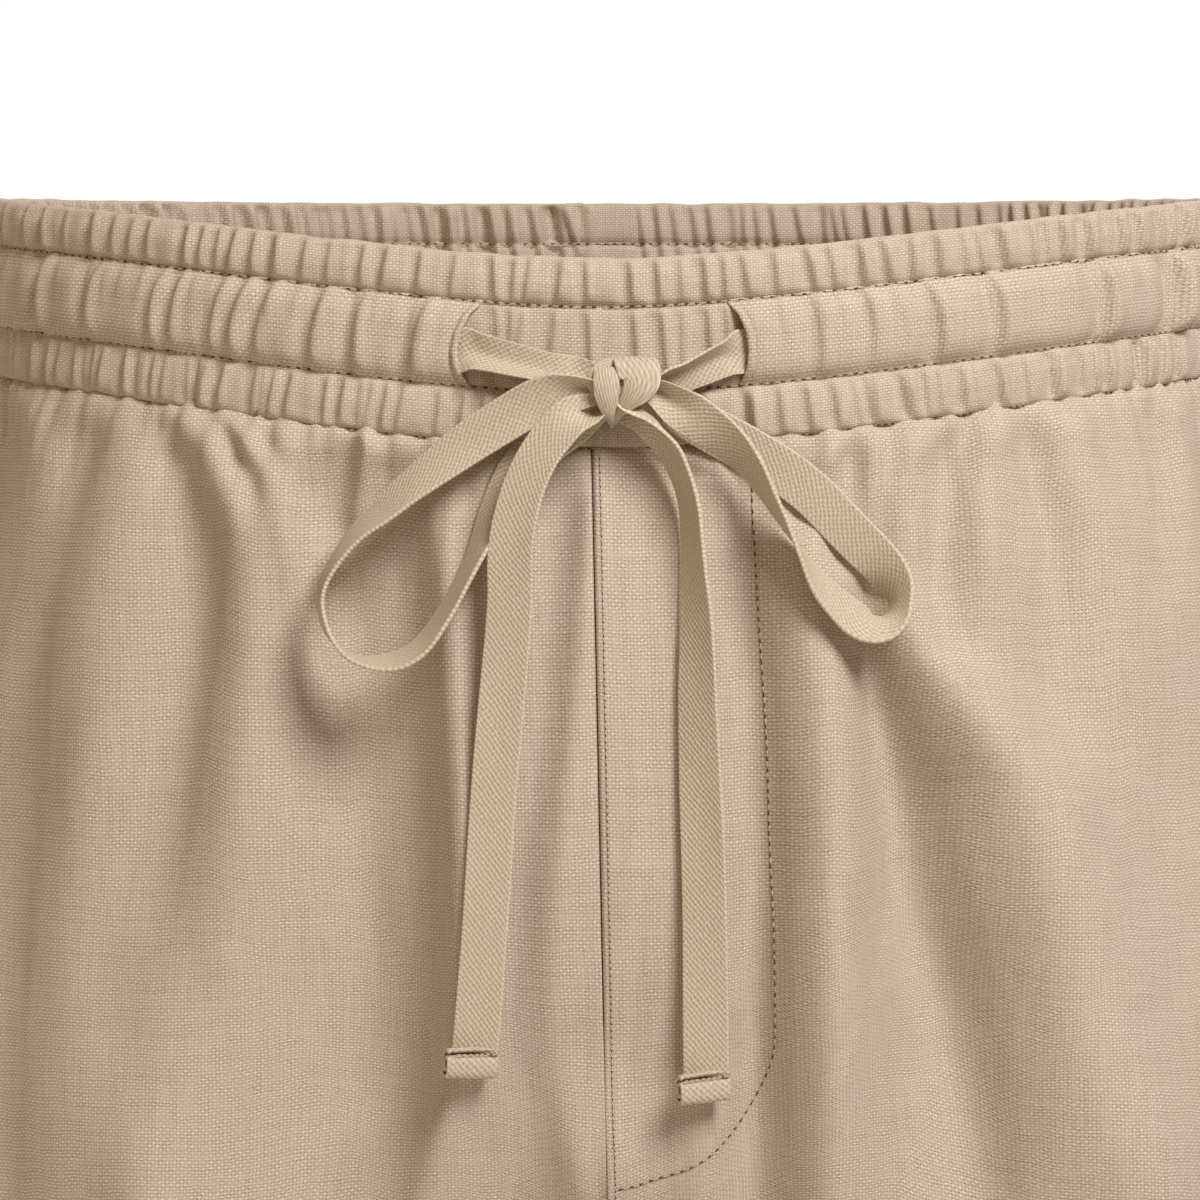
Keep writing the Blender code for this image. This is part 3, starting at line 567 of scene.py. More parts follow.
print("drawing the tied drawstring")
routeRight = stringRoutes["runRight"] + stringRoutes["throughRight"] + stringRoutes["tailLeft"]
routeLeft = stringRoutes["runLeft"] + stringRoutes["throughLeft"] + stringRoutes["tailRight"]
knotPiece = settle(knotSurface(), "twill_tape", "string_knot")
tailEndRight, *endSeamRight = rolledEnd("rolledEndRight", "tailRight", "string_end_right")
tailEndLeft, *endSeamLeft = rolledEnd("rolledEndLeft", "tailLeft", "string_end_left")
tapePieces = [
    knotPiece, tailEndRight, tailEndLeft,
    tape(
        "tapeFromRightOpening", routeRight, 3, 36, "fitting", [knotPiece, tailEndLeft],
        "string_run_right", "string_tail_left",
    ),
    tape(
        "tapeFromLeftOpening", routeLeft, 5, 34, "fitting", [tailEndRight],
        "string_run_left", "string_tail_right",
    ),
    tape("bowLoopRight", stringRoutes["loopRight"], 8, 0, "object", [], "string_loop_right"),
    tape("bowLoopLeft", stringRoutes["loopLeft"], 12, 0, "object", [], "string_loop_left"),
]

# Gathers. Places are the front creases' distances round the waist from centre front; the rest follow at an
# uneven spacing round the sides and back. lean is the crease's slant down the band, and firm holds the
# stretches, from and to, whose creases are deeper or shallower by a factor.
gathers = {
    "rim": {
        "places": (
            -171, -160, -152, -143, -133, -126, -120, -115, -104, -99.4, -94.9, -90.5, -85.4, -79.8, -71.9,
            -65.8, -57.4, -51.7, -43.3, -34.8, -26.1, -20.8, -17.2, -9.5, -4.1, 6.2, 12.6, 18.6, 23.9,
            28.7, 33.1, 40.9, 48.7, 54.4, 62, 67.8,
        ),
        "spacing": 5.6, "seed": 21, "depth": 0.8, "width": 1.2, "notch": 0.8, "lean": 0,
        "firm": ((60, 210, 1.5),),
    },
    "channel": {
        "places": (
            -151.6, -132.8, -112.8, -106.9, -95.1, -89.9, -82.9, -69, -58.6, -44, 51.1, 64.4, 81, 97.9,
            130.1, 158.8,
        ),
        "spacing": 13.5, "seed": 22, "depth": 1, "width": 1.7, "notch": 0.75, "lean": 0,
        "firm": ((60, 70, 0.6), (95, 170, 2.3)),
    },
    "lower": {
        "places": (-170, -165.4),
        "spacing": 4.2, "seed": 23, "depth": 0.68, "width": 1.15, "notch": 0.7, "lean": 0,
        "firm": ((60, 210, 1.25),),
    },
    "inside": {
        "places": (-120, -113),
        "spacing": 5.2, "seed": 24, "depth": 1.4, "width": 1.35, "notch": 0.9, "lean": -0.18,
        "firm": ((200, 425, 0.85), (425, 640, 1.6)),
    },
}


# How every crease is shaped: how its slant follows the rim's slope, how soon a bow turns outwards, its width
# for a strength of none and what strength adds, and its notch's width and blunt tip.
creaseMake = {
    "slope": 1.6, "bowWithin": 60, "width": 0.7, "widthByStrength": 0.4, "notch": 0.4, "blunt": 0.03,
}


def creasePlaces(kind):
    # Each crease's place round the waist, strength and lean: the known places, then the rest by chance.
    chance = np.random.default_rng(kind["seed"])
    known = np.array(kind["places"], float)
    onward = known[-1] + np.cumsum(chance.uniform(0.5, 1.6, 400) * kind["spacing"])
    places = np.concatenate([known, onward[onward < known[0] + roundWaist - 0.6 * kind["spacing"]]])
    strength = chance.uniform(0.55, 1.4, len(places))
    for first, last, factor in kind["firm"]:
        strength = strength * np.where((places > first) & (places < last), factor, 1)
    lean = chance.normal(kind["lean"], 0.05, len(places))
    return places, strength, lean


def rimSlope(around):
    # The rim's rise over a millimetre round the waist.
    return rimHeight(turnAt(around + 0.5)) - rimHeight(turnAt(around - 0.5))


def lip(away):
    # A fold's step: down to -1 at one width before its line, up to 1 at one width after it, then out.
    return away * np.exp(0.5 * (1 - away**2))


def creaseField(kind, around, down, bendOver=1e9, bendBy=0.0, facing=1):
    # The sum over the creases of a fold's step and a sharp notch on its line. A crease runs down square to
    # the rim, leans a little, and bows outwards by bendBy, over bendOver above and below its middle.
    total = 0 * around
    bow = 1 - (down / bendOver) ** 2
    for place, strength, lean in zip(*creasePlaces(kind)):
        outwards = math.tanh(fromCentre(place) / creaseMake["bowWithin"])
        centre = place + (rimSlope(place) * creaseMake["slope"] + lean) * down + bendBy * outwards * bow
        away = fromCentre(around - centre)
        width = kind["width"] * (creaseMake["width"] + creaseMake["widthByStrength"] * strength)
        fromNotch = np.sqrt(away**2 + creaseMake["blunt"])
        notch = kind["notch"] * np.exp(-fromNotch / (creaseMake["notch"] * width))
        total += strength * (facing * lip(away / width) - notch)
    return kind["depth"] * total


# fullness is the gathered cloth's own length over the length that it is gathered into, and frontReach is
# how far the fine columns go from centre front.
bandSkin = {
    "rimBulge": 1.3, "lowerBulge": 1.1, "groove": 0.9, "grooveWidth": 0.8, "scallop": 0.05, "scallopFrom": 33,
    "scallopFull": 45, "backSeam": 5.0, "backFlat": 14.0, "backRidge": 1.6, "backHollow": 0.5,
    "fullness": 1.12, "frontReach": 172, "inRow": 0.8, "inRowWidth": 1.3, "footTuck": 0.7,
}


def unevenAround(start, end, fine, coarse):
    # Places round the waist from start to end, fine across the front and coarse elsewhere.
    reach = bandSkin["frontReach"]
    front = np.arange(-reach, reach, fine)
    before = np.arange(-reach, start, -coarse)[:0:-1] if start < -reach else front[:0]
    after = np.arange(reach, end, coarse)
    inFront = front[(front >= start) & (front <= end)]
    return np.concatenate([before, inFront, after])


def seamScallop(around):
    # How far the waist seam wanders below and above its mean line.
    wander = unevenWaves(around, 0 * around, 13, 31) + 0.5 * unevenWaves(around, 0 * around, 5, 32)
    return bandSkin["scallop"] * wander * smoothStep((np.abs(around) - 12) / 30)


def bandScallop(around, drop):
    # The seam's wandering, fading out up the band.
    top, foot = bandSkin["scallopFrom"], bandSkin["scallopFull"]
    return smoothStep((drop - top) / (foot - top)) * seamScallop(around)


def bandOut(around, drop):
    # How far the band's outer face stands out: two puffed rows with gathers, pinched at the stitches.
    top, low, height = waistForm["topStitchDrop"], waistForm["lowStitchDrop"], waistForm["bandHeight"]
    inRim = np.clip(drop / top, 0, 1)
    inLower = np.clip((drop - low) / (height - low), 0, 1)
    inBase = smoothStep((drop - top) / 2) * smoothStep((low - drop) / 2)
    rimPart = smoothStep(drop / 2.4) * 0.65 + 0.35
    rimPart = rimPart * (1 - smoothStep((drop - top + 0.3) / 1.6) * smoothStep((top + 6 - drop) / 4))
    rimPart = rimPart * (1 - smoothStep((drop - top) / 0.5))
    out = bandSkin["rimBulge"] * np.sin(np.pi * inRim) ** 0.8
    out = out + bandSkin["lowerBulge"] * np.sin(np.pi * inLower) ** 0.8
    inRow, rowWidth = bandSkin["inRow"], bandSkin["inRowWidth"]
    atRow = 1 - inRow * bump(drop - top, rowWidth) - inRow * bump(drop - low, rowWidth)
    out = out + creaseField(gathers["rim"], around, drop) * (rimPart + 0.8 * inBase) * atRow
    lowerPart = smoothStep((drop - low) / 1.6) * (1 - 0.95 * smoothStep((drop - height + 2.2) / 2.2))
    out = out + creaseField(gathers["lower"], around, drop) * lowerPart * atRow
    for row in (top, low):
        out = out - bandSkin["groove"] * bump(drop - row, bandSkin["grooveWidth"])
    out = out - bandSkin["footTuck"] * smoothStep(drop - height + 1)
    return out + 0.12 * unevenWaves(around, drop, 9, 33)


def bandInside(around, drop):
    # How far the inner face stands in from the wall's mean inner face. It lies flat beside the seam at
    # centre back, where the strip's two ends meet.
    height, top = waistForm["bandHeight"], waistForm["topStitchDrop"]
    fromBack = (around + roundWaist) % roundWaist - roundWaist / 2
    seamAt, flat = bandSkin["backSeam"], bandSkin["backFlat"]
    gathered = smoothStep((np.abs(fromBack + seamAt / 2) - flat / 2) / 3)
    creasesHere = -creaseField(gathers["inside"], around, drop - 6, facing=-1) * gathered
    creasesHere = creasesHere * (0.35 + 0.65 * smoothStep(drop / 3))
    seam = bandSkin["backRidge"] * np.exp(-np.abs(fromBack - seamAt) / 0.7)
    seam = seam - bandSkin["backHollow"] * bump(fromBack - 2.6, 2.2)
    pinched = bandSkin["groove"] * bump(drop - top, 1.0)
    settled = 0.5 * smoothStep((drop - height + 2) / 2) - 0.7 * np.sin(np.pi * np.clip(drop / top, 0, 1))
    return creasesHere + seam * smoothStep(drop / 2) + pinched + settled


def waistbandSkin():
    # A ring whose cross-section runs up the inner face, over the rim and down the outer face.
    wall = waistForm["bandWall"]
    inside = np.array([
        44.6, 41, 37, 33, 29, 25, 21, 18, 15.5, 13.8, 12.9, 12.3, 11.7, 11.1, 10.4, 9.3, 7.8, 6, 4.3, 2.9,
        1.8, 1,
    ])
    outside = np.array([
        0.9, 1.6, 2.5, 3.6, 4.8, 6.1, 7.4, 8.7, 9.8, 10.6, 11.2, 11.7, 12.2, 12.8, 13.8, 15.5, 18, 21, 24,
        26.8, 29, 30.5, 31.4, 32.2, 32.9, 33.7, 34.8, 36.1, 37.6, 39.1, 40.6, 42, 43.2, 44.1, 44.7, 45.2,
    ])
    drop = np.concatenate([inside, [0.45, 0.12, -0.02, 0.02, 0.3], outside, [45.6, 45.5]])
    out = np.concatenate([0 * inside - wall, [-2.75, -2.2, -1.5, -0.85, -0.3], 0 * outside, [-1.6, -2.6]])
    onOuter = np.concatenate([0 * inside, [0, 0.05, 0.2, 0.5, 0.8], 0 * outside + 1, [1, 0.3]])
    onInner = np.concatenate([0 * inside + 1, [0.8, 0.5, 0.2, 0.05, 0], 0 * outside, [0, 0.5]])
    seamAt = bandSkin["backSeam"] - roundWaist / 2
    around, drop = np.meshgrid(unevenAround(seamAt, seamAt + roundWaist - 0.5, 0.42, 0.88), drop)
    out = out[:, None] + onOuter[:, None] * bandOut(around, drop)
    out = out + onInner[:, None] * bandInside(around, drop)
    travelled = np.concatenate([[0], np.cumsum(np.abs(np.diff(drop[:, 0])) + 0.4)])
    wavy = drop + bandScallop(around, drop) + 0.15 * unevenWaves(around, 0 * around, 16, 34)
    points = waistPoint(turnAt(around), wavy, out)
    fullness = bandSkin["fullness"]
    uv = np.stack([around * fullness, travelled[:, None] + 0 * around], axis=-1)
    faces = gridFaces(*drop.shape, True, True)
    return putMesh("gatheredWaistband", points, faces, uv, joinedAt=roundWaist * fullness)


print("gathering the waistband")
bandPiece = settle(waistbandSkin(), "cotton_band", "waistband")

# The drawcord channel: a puffed strip whose two ends are hemmed at the openings. Each mouth is its places
# across at the mouth's drops, and mouthArcs are about how far round the waist the two mouths are.
channelSkin = {
    "drops": (11.2, 32.7), "puff": 2.7, "wall": 0.9, "hem": 2.1, "hemRise": 1.0, "hemGroove": 1.5,
    "middleDrop": 22, "bowHalf": 10.5, "bowBy": 1.6,
    "mouthDrops": (10.5, 15.0, 19.5, 24.0, 28.0, 33.0), "mouthArcs": (34, 33), "mouthReach": 9,
    "leftMouth": (29.6, 32.6, 34.3, 34.9, 34.6, 33.2),
    "rightMouth": (-27.4, -30.8, -32.8, -33.6, -33.2, -31.0),
}


def channelColumns():
    # Columns along the strip, from 0 at the left mouth, by the back, to 1 at the right one: close together
    # beside the mouths, fine across the front and coarse elsewhere.
    left, right = channelSkin["mouthArcs"]
    length = roundWaist - left - right
    first, reach, fine = left + channelSkin["mouthReach"], bandSkin["frontReach"], 0.45
    hemmed = np.linspace(0, channelSkin["mouthReach"], 26)
    span = unevenAround(first, roundWaist - first, fine, 1.25)
    span = np.concatenate([span[span < roundWaist - reach], roundWaist + np.arange(-reach, -first, fine)])
    return np.concatenate([hemmed, span - left, length - hemmed[::-1]]) / length


def channelStrip():
    # Each row of the strip starts and ends on the mouths' curves.
    drop = np.linspace(*channelSkin["drops"], 31)

    def mouthPlaces(mouth):
        across = np.interp(drop, channelSkin["mouthDrops"], channelSkin[mouth])
        return aroundAt(np.arcsin(across / waistForm["halfWidth"]))[:, None]

    start, end = mouthPlaces("leftMouth"), mouthPlaces("rightMouth") + roundWaist
    around = start + (end - start) * channelColumns()
    drop = drop[:, None] + 0 * around
    top, low = waistForm["topStitchDrop"], waistForm["lowStitchDrop"]
    across = np.clip((drop - top) / (low - top), 0, 1)
    puff = (1 - np.abs(2 * across**1.05 - 1) ** 3.6) ** 0.85
    fromMouth = np.minimum(around - start, end - around)
    fromMiddle = drop - channelSkin["middleDrop"]
    creasesHere = creaseField(
        gathers["channel"], around, fromMiddle, channelSkin["bowHalf"], channelSkin["bowBy"]
    )
    small = creaseField(gathers["rim"], around, drop) * 0.5 * smoothStep(1 - across) ** 2
    settled = smoothStep(fromMouth / channelSkin["mouthReach"])
    out = puff * (channelSkin["puff"] + 0.35 * unevenWaves(around, drop * 0.5, 24, 41))
    out = out + puff**0.4 * (creasesHere + small) * settled
    fromHem = fromMouth - channelSkin["hem"]
    out = out + puff * channelSkin["hemRise"] * (1 - smoothStep(fromHem / 0.8))
    out = out - channelSkin["hemGroove"] * bump(fromHem, 0.45) * puff**0.5
    out = out - 0.5 + 0.6 * puff - 0.5 * (1 - smoothStep(fromMouth / 0.8)) * puff
    points = waistPoint(turnAt(around), drop, out)
    uv = np.stack([around * bandSkin["fullness"], drop + 60], axis=-1)
    made = putMesh("drawcordChannel", points, gridFaces(*around.shape), uv, closed=False)
    return addWall(made, channelSkin["wall"])


print("stitching on the drawcord channel")
channelPiece = settle(channelStrip(), "cotton_cloth", "drawcord_channel")

# Larger folds on each face of the body, each a step in the cloth along a line: its width before the line and
# after it, the crest's share of the rise, then its stops. A stop is a drop below the waist seam, the place
# across there, the rise, and the spread of the widths.
folds = {
    "front": (
        (8, 10, 1, (-1, -107, 0.8, 0.6), (7, -101.4, 2.2, 0.7), (16, -96.6, 3.8, 0.8), (30, -92, 5.6, 1.1),
         (54, -92.8, 6.6, 1.25), (74, -96, 6.8, 1.3), (98, -98.4, 6, 1.4), (120, -101.5, 4.2, 1.5),
         (151, -105.5, 2.2, 1.7), (177, -108.3, 1.2, 1.8), (210, -112, 0, 2)),
        (8, 12, 1, (0, -120.7, 0, 0.5), (11, -123.4, 1.5, 0.6), (24, -127.1, 2.2, 0.8),
         (39, -130.9, 2.4, 1), (62, -134.8, 2.6, 1.1), (88, -137.6, 2.8, 1.2), (130, -140.6, 3, 1.3),
         (180, -142.6, 2.6, 1.4), (228, -144, 0, 1.5)),
        (6, 7, 1, (1, -146.1, 0, 0.6), (9, -145.5, 1.2, 0.7), (24, -144.9, 1.2, 1), (45, -146.1, 0.8, 1.2),
         (71, -147.6, 0, 1.4)),
        (4.5, 5, 1, (-1, -92.2, 0, 0.5), (5, -88.2, 2, 0.6), (14, -82.7, 2.4, 0.8), (26, -78.4, 2, 1),
         (43, -74.7, 1.4, 1.2), (57, -71.5, 1, 1.4), (71, -67.3, 0, 1.6)),
        (5, 4, 1, (-2, -60.4, 0, 0.5), (3, -58, 2.6, 0.7), (9, -60, 2.8, 0.8), (18, -62.6, 2.4, 0.9),
         (30, -62, 1.7, 1.1), (50, -60.9, 0.8, 1.4), (64, -60, 0, 1.6)),
        (3, 3.5, 1, (-2, -77.7, 0, 0.5), (2, -78.4, 1.1, 0.7), (9, -77.9, 0.8, 0.9), (16, -76.7, 0, 1)),
        (23, 5, 0.12, (0, -38.5, 1.2, 0.5), (10, -39, 5.3, 0.6), (24, -39.6, 9.2, 0.75),
         (44, -38.8, 12.2, 0.9), (63, -37.8, 14.2, 1), (102, -36.6, 15.2, 1), (135, -36, 15.2, 1),
         (152, -36.8, 15, 1), (167, -40, 14, 1), (178, -43.5, 12, 1), (197, -47.5, 9, 1),
         (220, -51, 4.5, 1), (240, -53, 0, 1)),
        (7, 3, 0.25, (16, -39, 0, 0.7), (36, -38, 2, 0.9), (60, -37, 3.4, 1), (135, -36, 3.6, 1),
         (167, -40, 3.4, 1), (190, -46, 2.4, 1), (220, -51, 0, 1)),
        (5, 4, 1, (1, -5.3, 0, 0.8), (8, -5.3, 1.2, 0.9), (37, -6.8, 1.8, 1), (66, -9.3, 2, 1),
         (94, -12.8, 1.8, 1.1), (128, -15.2, 1.4, 1.2), (165, -12, 0, 1.3)),
        (8, 10, 1, (8, 39, 0, 0.5), (20, 39.7, 2.6, 0.6), (33, 40.4, 4.6, 0.8), (54, 43.1, 6.8, 0.9),
         (76, 44.8, 7.8, 1), (99, 46.4, 8.6, 1), (119, 45.9, 9, 1), (137, 46, 9.2, 1), (156, 46, 9.2, 1),
         (179, 45.7, 8.8, 1.05), (196, 44.8, 7.4, 1.1), (220, 42.1, 3.4, 1.2), (240, 41, 0, 1.3)),
        (27, 6, 0.2, (100, 25, 0, 0.8), (136, 24, 3.2, 0.9), (162, 22, 6.8, 1), (198, 19, 9, 1.1),
         (235, 14, 6, 1.2)),
        (26, 14, 0.54, (70, -118, 0, 0.8), (110, -118, 1.6, 0.9), (150, -119, 3.3, 1),
         (200, -120, 4.6, 1.05), (260, -121, 4, 1.1), (340, -122, 2, 1.2), (420, -122, 0, 1.3)),
        (3, 3, 1, (1, 51.9, 0, 0.6), (5, 51.6, 1.2, 0.8), (13, 51.1, 1.4, 1), (23, 49.7, 1, 1.1),
         (35, 48.2, 0, 1.2)),
        (4, 3.5, 1, (0, 64.8, 0, 0.6), (4, 64.4, 2.2, 0.8), (12, 63.6, 2.6, 1), (22, 63.6, 1.4, 1.1),
         (34, 64.2, 0, 1.3)),
        (4, 5, 1, (-1, 72.7, 0, 0.5), (3, 72, 1.6, 0.7), (13, 70.7, 2.2, 0.8), (25, 71, 2.4, 0.9),
         (39, 69.3, 2.1, 1), (51, 68.8, 1.4, 1.2), (63, 70.2, 0, 1.4)),
        (13, 18, 1, (34, 67.8, 0, 0.3), (51, 69.2, 4.6, 0.4), (64, 75, 8.8, 0.55), (77, 80.6, 11.4, 0.7),
         (88, 85, 13, 0.85), (104, 88.8, 14, 0.95), (117, 91.4, 14.4, 1), (144, 97.6, 13.8, 1),
         (164, 100.4, 12.8, 1), (188, 103, 10.8, 1.1), (208, 104.4, 6.6, 1.2), (232, 105, 0, 1.3)),
        (5.5, 5, 1, (-2, 93, 0, 0.5), (3, 91, 2.2, 0.7), (16, 89.4, 3.2, 0.9), (30, 88.6, 3.4, 1),
         (45, 88.5, 2.6, 1.1), (59, 88, 1.2, 1.3), (79, 88, 0, 1.5)),
        (5, 7, 1, (-1, 108, 0.4, 0.5), (5, 109, 2.3, 0.7), (17, 112, 2.9, 0.8), (35, 117, 2.9, 1.1),
         (52, 118.6, 2.5, 1.4), (75, 120.2, 1.5, 1.7), (100, 122, 0, 2)),
        (4, 5, 1, (0, 139.8, 0, 0.5), (5, 140.7, 1.4, 0.7), (13, 143.2, 1.4, 0.8), (29, 145.5, 0.8, 1),
         (49, 147.3, 0, 1.2)),
        (12, 16, 1, (150, 118, 0, 0.6), (215, 126, 3.4, 0.9), (290, 130, 4.2, 1.1), (370, 131, 3.4, 1.3),
         (430, 132, 2.2, 1.5)),
        (13, 12, 1, (170, -120, 0, 0.6), (230, -116, 3.2, 0.9), (300, -110, 4.4, 1.1),
         (380, -106, 3.2, 1.3), (430, -104, 2, 1.5)),
        (10, 11, 1, (240, 62, 0, 0.7), (300, 66, 2.8, 1), (370, 70, 2.6, 1.2), (430, 72, 1.6, 1.4)),
        (10, 12, 1, (235, -52, 0, 0.7), (300, -58, 3, 1), (370, -64, 2.4, 1.2), (430, -66, 1.4, 1.4)),
    ),
    "side": (
        (9, 11, 1, (-5, 24, 0.8, 0.5), (12, 26, 3.2, 0.7), (50, 32, 5, 1), (110, 40, 4.2, 1.3),
         (190, 48, 2.4, 1.6), (260, 52, 0, 1.8)),
        (9, 10, 1, (-5, -34, 0.8, 0.5), (14, -35, 3, 0.7), (56, -40, 4.4, 1), (130, -46, 3.4, 1.4),
         (210, -50, 0, 1.8)),
        (7, 7, 1, (-5, 62, 0.8, 0.5), (10, 64, 2.6, 0.7), (36, 70, 3.2, 1), (80, 78, 2, 1.4),
         (130, 84, 0, 1.6)),
        (14, 16, 1, (200, 16, 0, 0.7), (270, 20, 3.8, 1), (350, 24, 4.2, 1.2), (430, 26, 2.2, 1.4)),
        (12, 12, 1, (230, -44, 0, 0.7), (300, -46, 3.2, 1), (380, -50, 3, 1.2), (430, -52, 1.6, 1.4)),
    ),
    "back": (
        (9, 11, 1, (-5, -104, 0.8, 0.5), (14, -105, 3.4, 0.7), (60, -110, 5.8, 1), (120, -116, 5, 1.3),
         (200, -122, 2.6, 1.6), (270, -126, 0, 1.8)),
        (7, 8, 1, (-5, -76, 0.8, 0.5), (10, -76, 2.8, 0.7), (38, -74, 3.8, 1), (90, -68, 3.4, 1.4),
         (160, -60, 1.6, 1.8), (210, -56, 0, 2)),
        (6, 7, 1, (-5, -44, 0.8, 0.5), (9, -44, 2.6, 0.7), (34, -43, 3, 1), (80, -40, 1.8, 1.4),
         (130, -38, 0, 1.8)),
        (5, 5, 1, (-5, -19, 0.6, 0.5), (8, -19, 1.8, 0.7), (26, -20, 1.8, 1.1), (60, -21, 0, 1.6)),
        (5, 6, 1, (-5, 23, 0.6, 0.5), (10, 23, 2.2, 0.7), (34, 25, 2.4, 1.1), (84, 28, 0, 1.6)),
        (8, 8, 1, (-5, 52, 0.8, 0.5), (14, 54, 3.2, 0.7), (54, 60, 4.6, 1), (110, 68, 4.2, 1.3),
         (180, 76, 2, 1.6), (240, 80, 0, 1.8)),
        (9, 12, 1, (-5, 96, 0.8, 0.5), (16, 98, 3.4, 0.7), (70, 104, 6, 1), (130, 110, 5.4, 1.3),
         (210, 116, 2.8, 1.6), (280, 120, 0, 1.8)),
        (6, 7, 1, (-5, 128, 0.8, 0.5), (12, 129, 2.6, 0.7), (40, 131, 3, 1), (90, 132, 1.6, 1.4),
         (140, 134, 0, 1.6)),
        (14, 14, 1, (215, -60, 0, 0.7), (270, -66, 4, 0.9), (330, -74, 4.6, 1.1), (400, -80, 3, 1.3),
         (430, -82, 2, 1.4)),
        (13, 12, 1, (230, -118, 0, 0.7), (300, -122, 3.6, 1), (370, -126, 3, 1.2), (430, -128, 1.8, 1.4)),
        (13, 15, 1, (220, 54, 0, 0.7), (275, 62, 4.4, 0.9), (340, 72, 4.4, 1.1), (400, 78, 2.8, 1.3),
         (430, 80, 1.8, 1.4)),
        (12, 12, 1, (240, 122, 0, 0.7), (310, 124, 3.8, 1), (380, 126, 3, 1.2), (430, 128, 1.8, 1.4)),
    ),
}
panelSkin = {
    "wall": 0.9, "gatherReach": 20, "seamTuck": 1.0, "seamPuff": 1.0, "ripple": 0.25, "edgeRoll": 0.5,
    "edgeRollWidth": 0.6, "innerCalm": (((3, 22), 0.6, 0.76), ((14, 46), 0.72, 1.0)), "flyTurning": 0.45,
    "pleatReach": 40, "centreCalm": (14, 24), "puffDrop": 4.5, "puffHeight": 5.5, "tuckHeight": 0.6,
    "sideClearance": 0.15, "turnedIn": 0.9, "tuckedUp": 2.4, "trunkDrop": 235,
}
bodyGathers = {
    "places": (-170, -164), "spacing": 7, "seed": 25, "depth": 0.75, "width": 1.7, "notch": 0.6, "lean": 0,
    "firm": (),
}


def foldRise(x, y, down, turn, level):
    # How far the cloth stands out of its plain form: the sum of the folds' soft troughs and ridges.
    faces = {
        "front": (x, smoothStep(np.cos(turn) * 3)),
        "side": (y, smoothStep(np.abs(np.sin(turn)) * 3 - 2)),
        "back": (x, smoothStep(-np.cos(turn) * 3)),
    }
    total = 0 * x
    for face, (across, share) in faces.items():
        for before, after, crest, *stops in folds[face]:
            drops, places, rises, spreads = zip(*stops)
            away = across - smoothCurve(drops, places, down)
            width = smoothCurve(drops, spreads, down) * np.where(away < 0, before, after)
            rise = share * smoothCurve(drops, rises, down) * np.where(away < 0, 1, crest)
            total = total + rise * lip(away / width)
    total = total * (0.4 + 0.6 * smoothStep((down + 1) / 9))
    for (near, far), start, end in panelSkin["innerCalm"]:
        calm = smoothStep((np.abs(x) - near) / (far - near))
        total = total * (1 - (1 - calm) * smoothStep((level - start) / (end - start)))
    return total


def fineRise(side, part, down):
    # Gathers below the waist seam, the roll of each panel edge into its seam, and small ripples.
    around = side * aroundAt(np.pi * part)
    below = np.maximum(down, 0)
    depth = np.exp(-below / panelSkin["gatherReach"])
    spread = 1 / (1 + below / panelSkin["pleatReach"])
    pleats = creaseField(bodyGathers, around, down * 0.25) * depth * (0.4 + 0.6 * spread)
    calmFrom, calmReach = panelSkin["centreCalm"]
    calm = smoothStep((np.abs(around) - calmFrom) / calmReach)
    puffed = panelSkin["seamPuff"] * calm * bump(down - panelSkin["puffDrop"], panelSkin["puffHeight"])
    tuck = puffed - panelSkin["seamTuck"] * np.exp(-below / panelSkin["tuckHeight"])
    ripple = panelSkin["ripple"] * unevenWaves(around, down * 0.35, 21, 51) * smoothStep(down / 30)
    return pleats * calm + tuck + ripple


def edgeRise(side, part, widthAt):
    # Each panel's long edges roll in at the centre, side and inner seams. At centre front the left
    # front lies on its turnings, so it stands a little higher beside the seam.
    toCentre, toSide, toBack = (share * widthAt * 2 for share in (part, np.abs(0.5 - part), 1 - part))
    nearest = np.minimum(np.minimum(toCentre, toSide), toBack)
    roll = -panelSkin["edgeRoll"] * np.exp(-nearest / panelSkin["edgeRollWidth"])
    turning = smoothStep(toCentre) * (1 - smoothStep((toCentre - 7) / 4)) * (side > 0)
    return roll + panelSkin["flyTurning"] * turning


def bodySurface(side, part, level, extra=0.0):
    # The body with its folds, moved out by extra, and the drop below the waist seam.
    points, down = plainForm(side, part, level)
    widthAt = sectionSize("trunk", "halfWidth", np.clip(level, 0, 1)) * 1.35
    rise = foldRise(points[..., 0], points[..., 1], down, np.pi * part, level)
    rise = rise + fineRise(side, part, down) + edgeRise(side, part, widthAt) + extra
    moved = points + outward(side, part, level) * rise[..., None]
    moved[..., 2] -= seamScallop(side * aroundAt(np.pi * part)) * (1 - smoothStep(down / 12))
    return moved, down


def panelGrid(atFront):
    # Columns close together beside the centre seam and rows close together below the waist seam.
    if atFront:
        columns = np.concatenate([
            [0, 0.3, 0.6, 0.9, 1.3, 1.8], np.arange(2.4, 60, 0.85), np.arange(60.4, 212.6, 1.25),
            [213, 213.35, 213.65],
        ])
    else:
        columns = np.concatenate([[0, 0.35, 0.8, 1.5], np.arange(2.6, 211, 2.0), [212.2, 213, 213.65]])
    part = columns / columns[-1] / 2
    if not atFront:
        part = part + 0.5
    drops = np.concatenate([
        [0, 0.4, 0.8, 1.3, 1.9, 2.6, 3.4, 4.3, 5.3], np.arange(6.5, 40, 1.3), np.arange(40.5, 190, 2.0),
    ])
    levels = np.concatenate([
        drops / panelSkin["trunkDrop"], np.linspace(0.82, 1, 9), np.linspace(1.02, 2, 34),
    ])
    return np.meshgrid(part, levels)


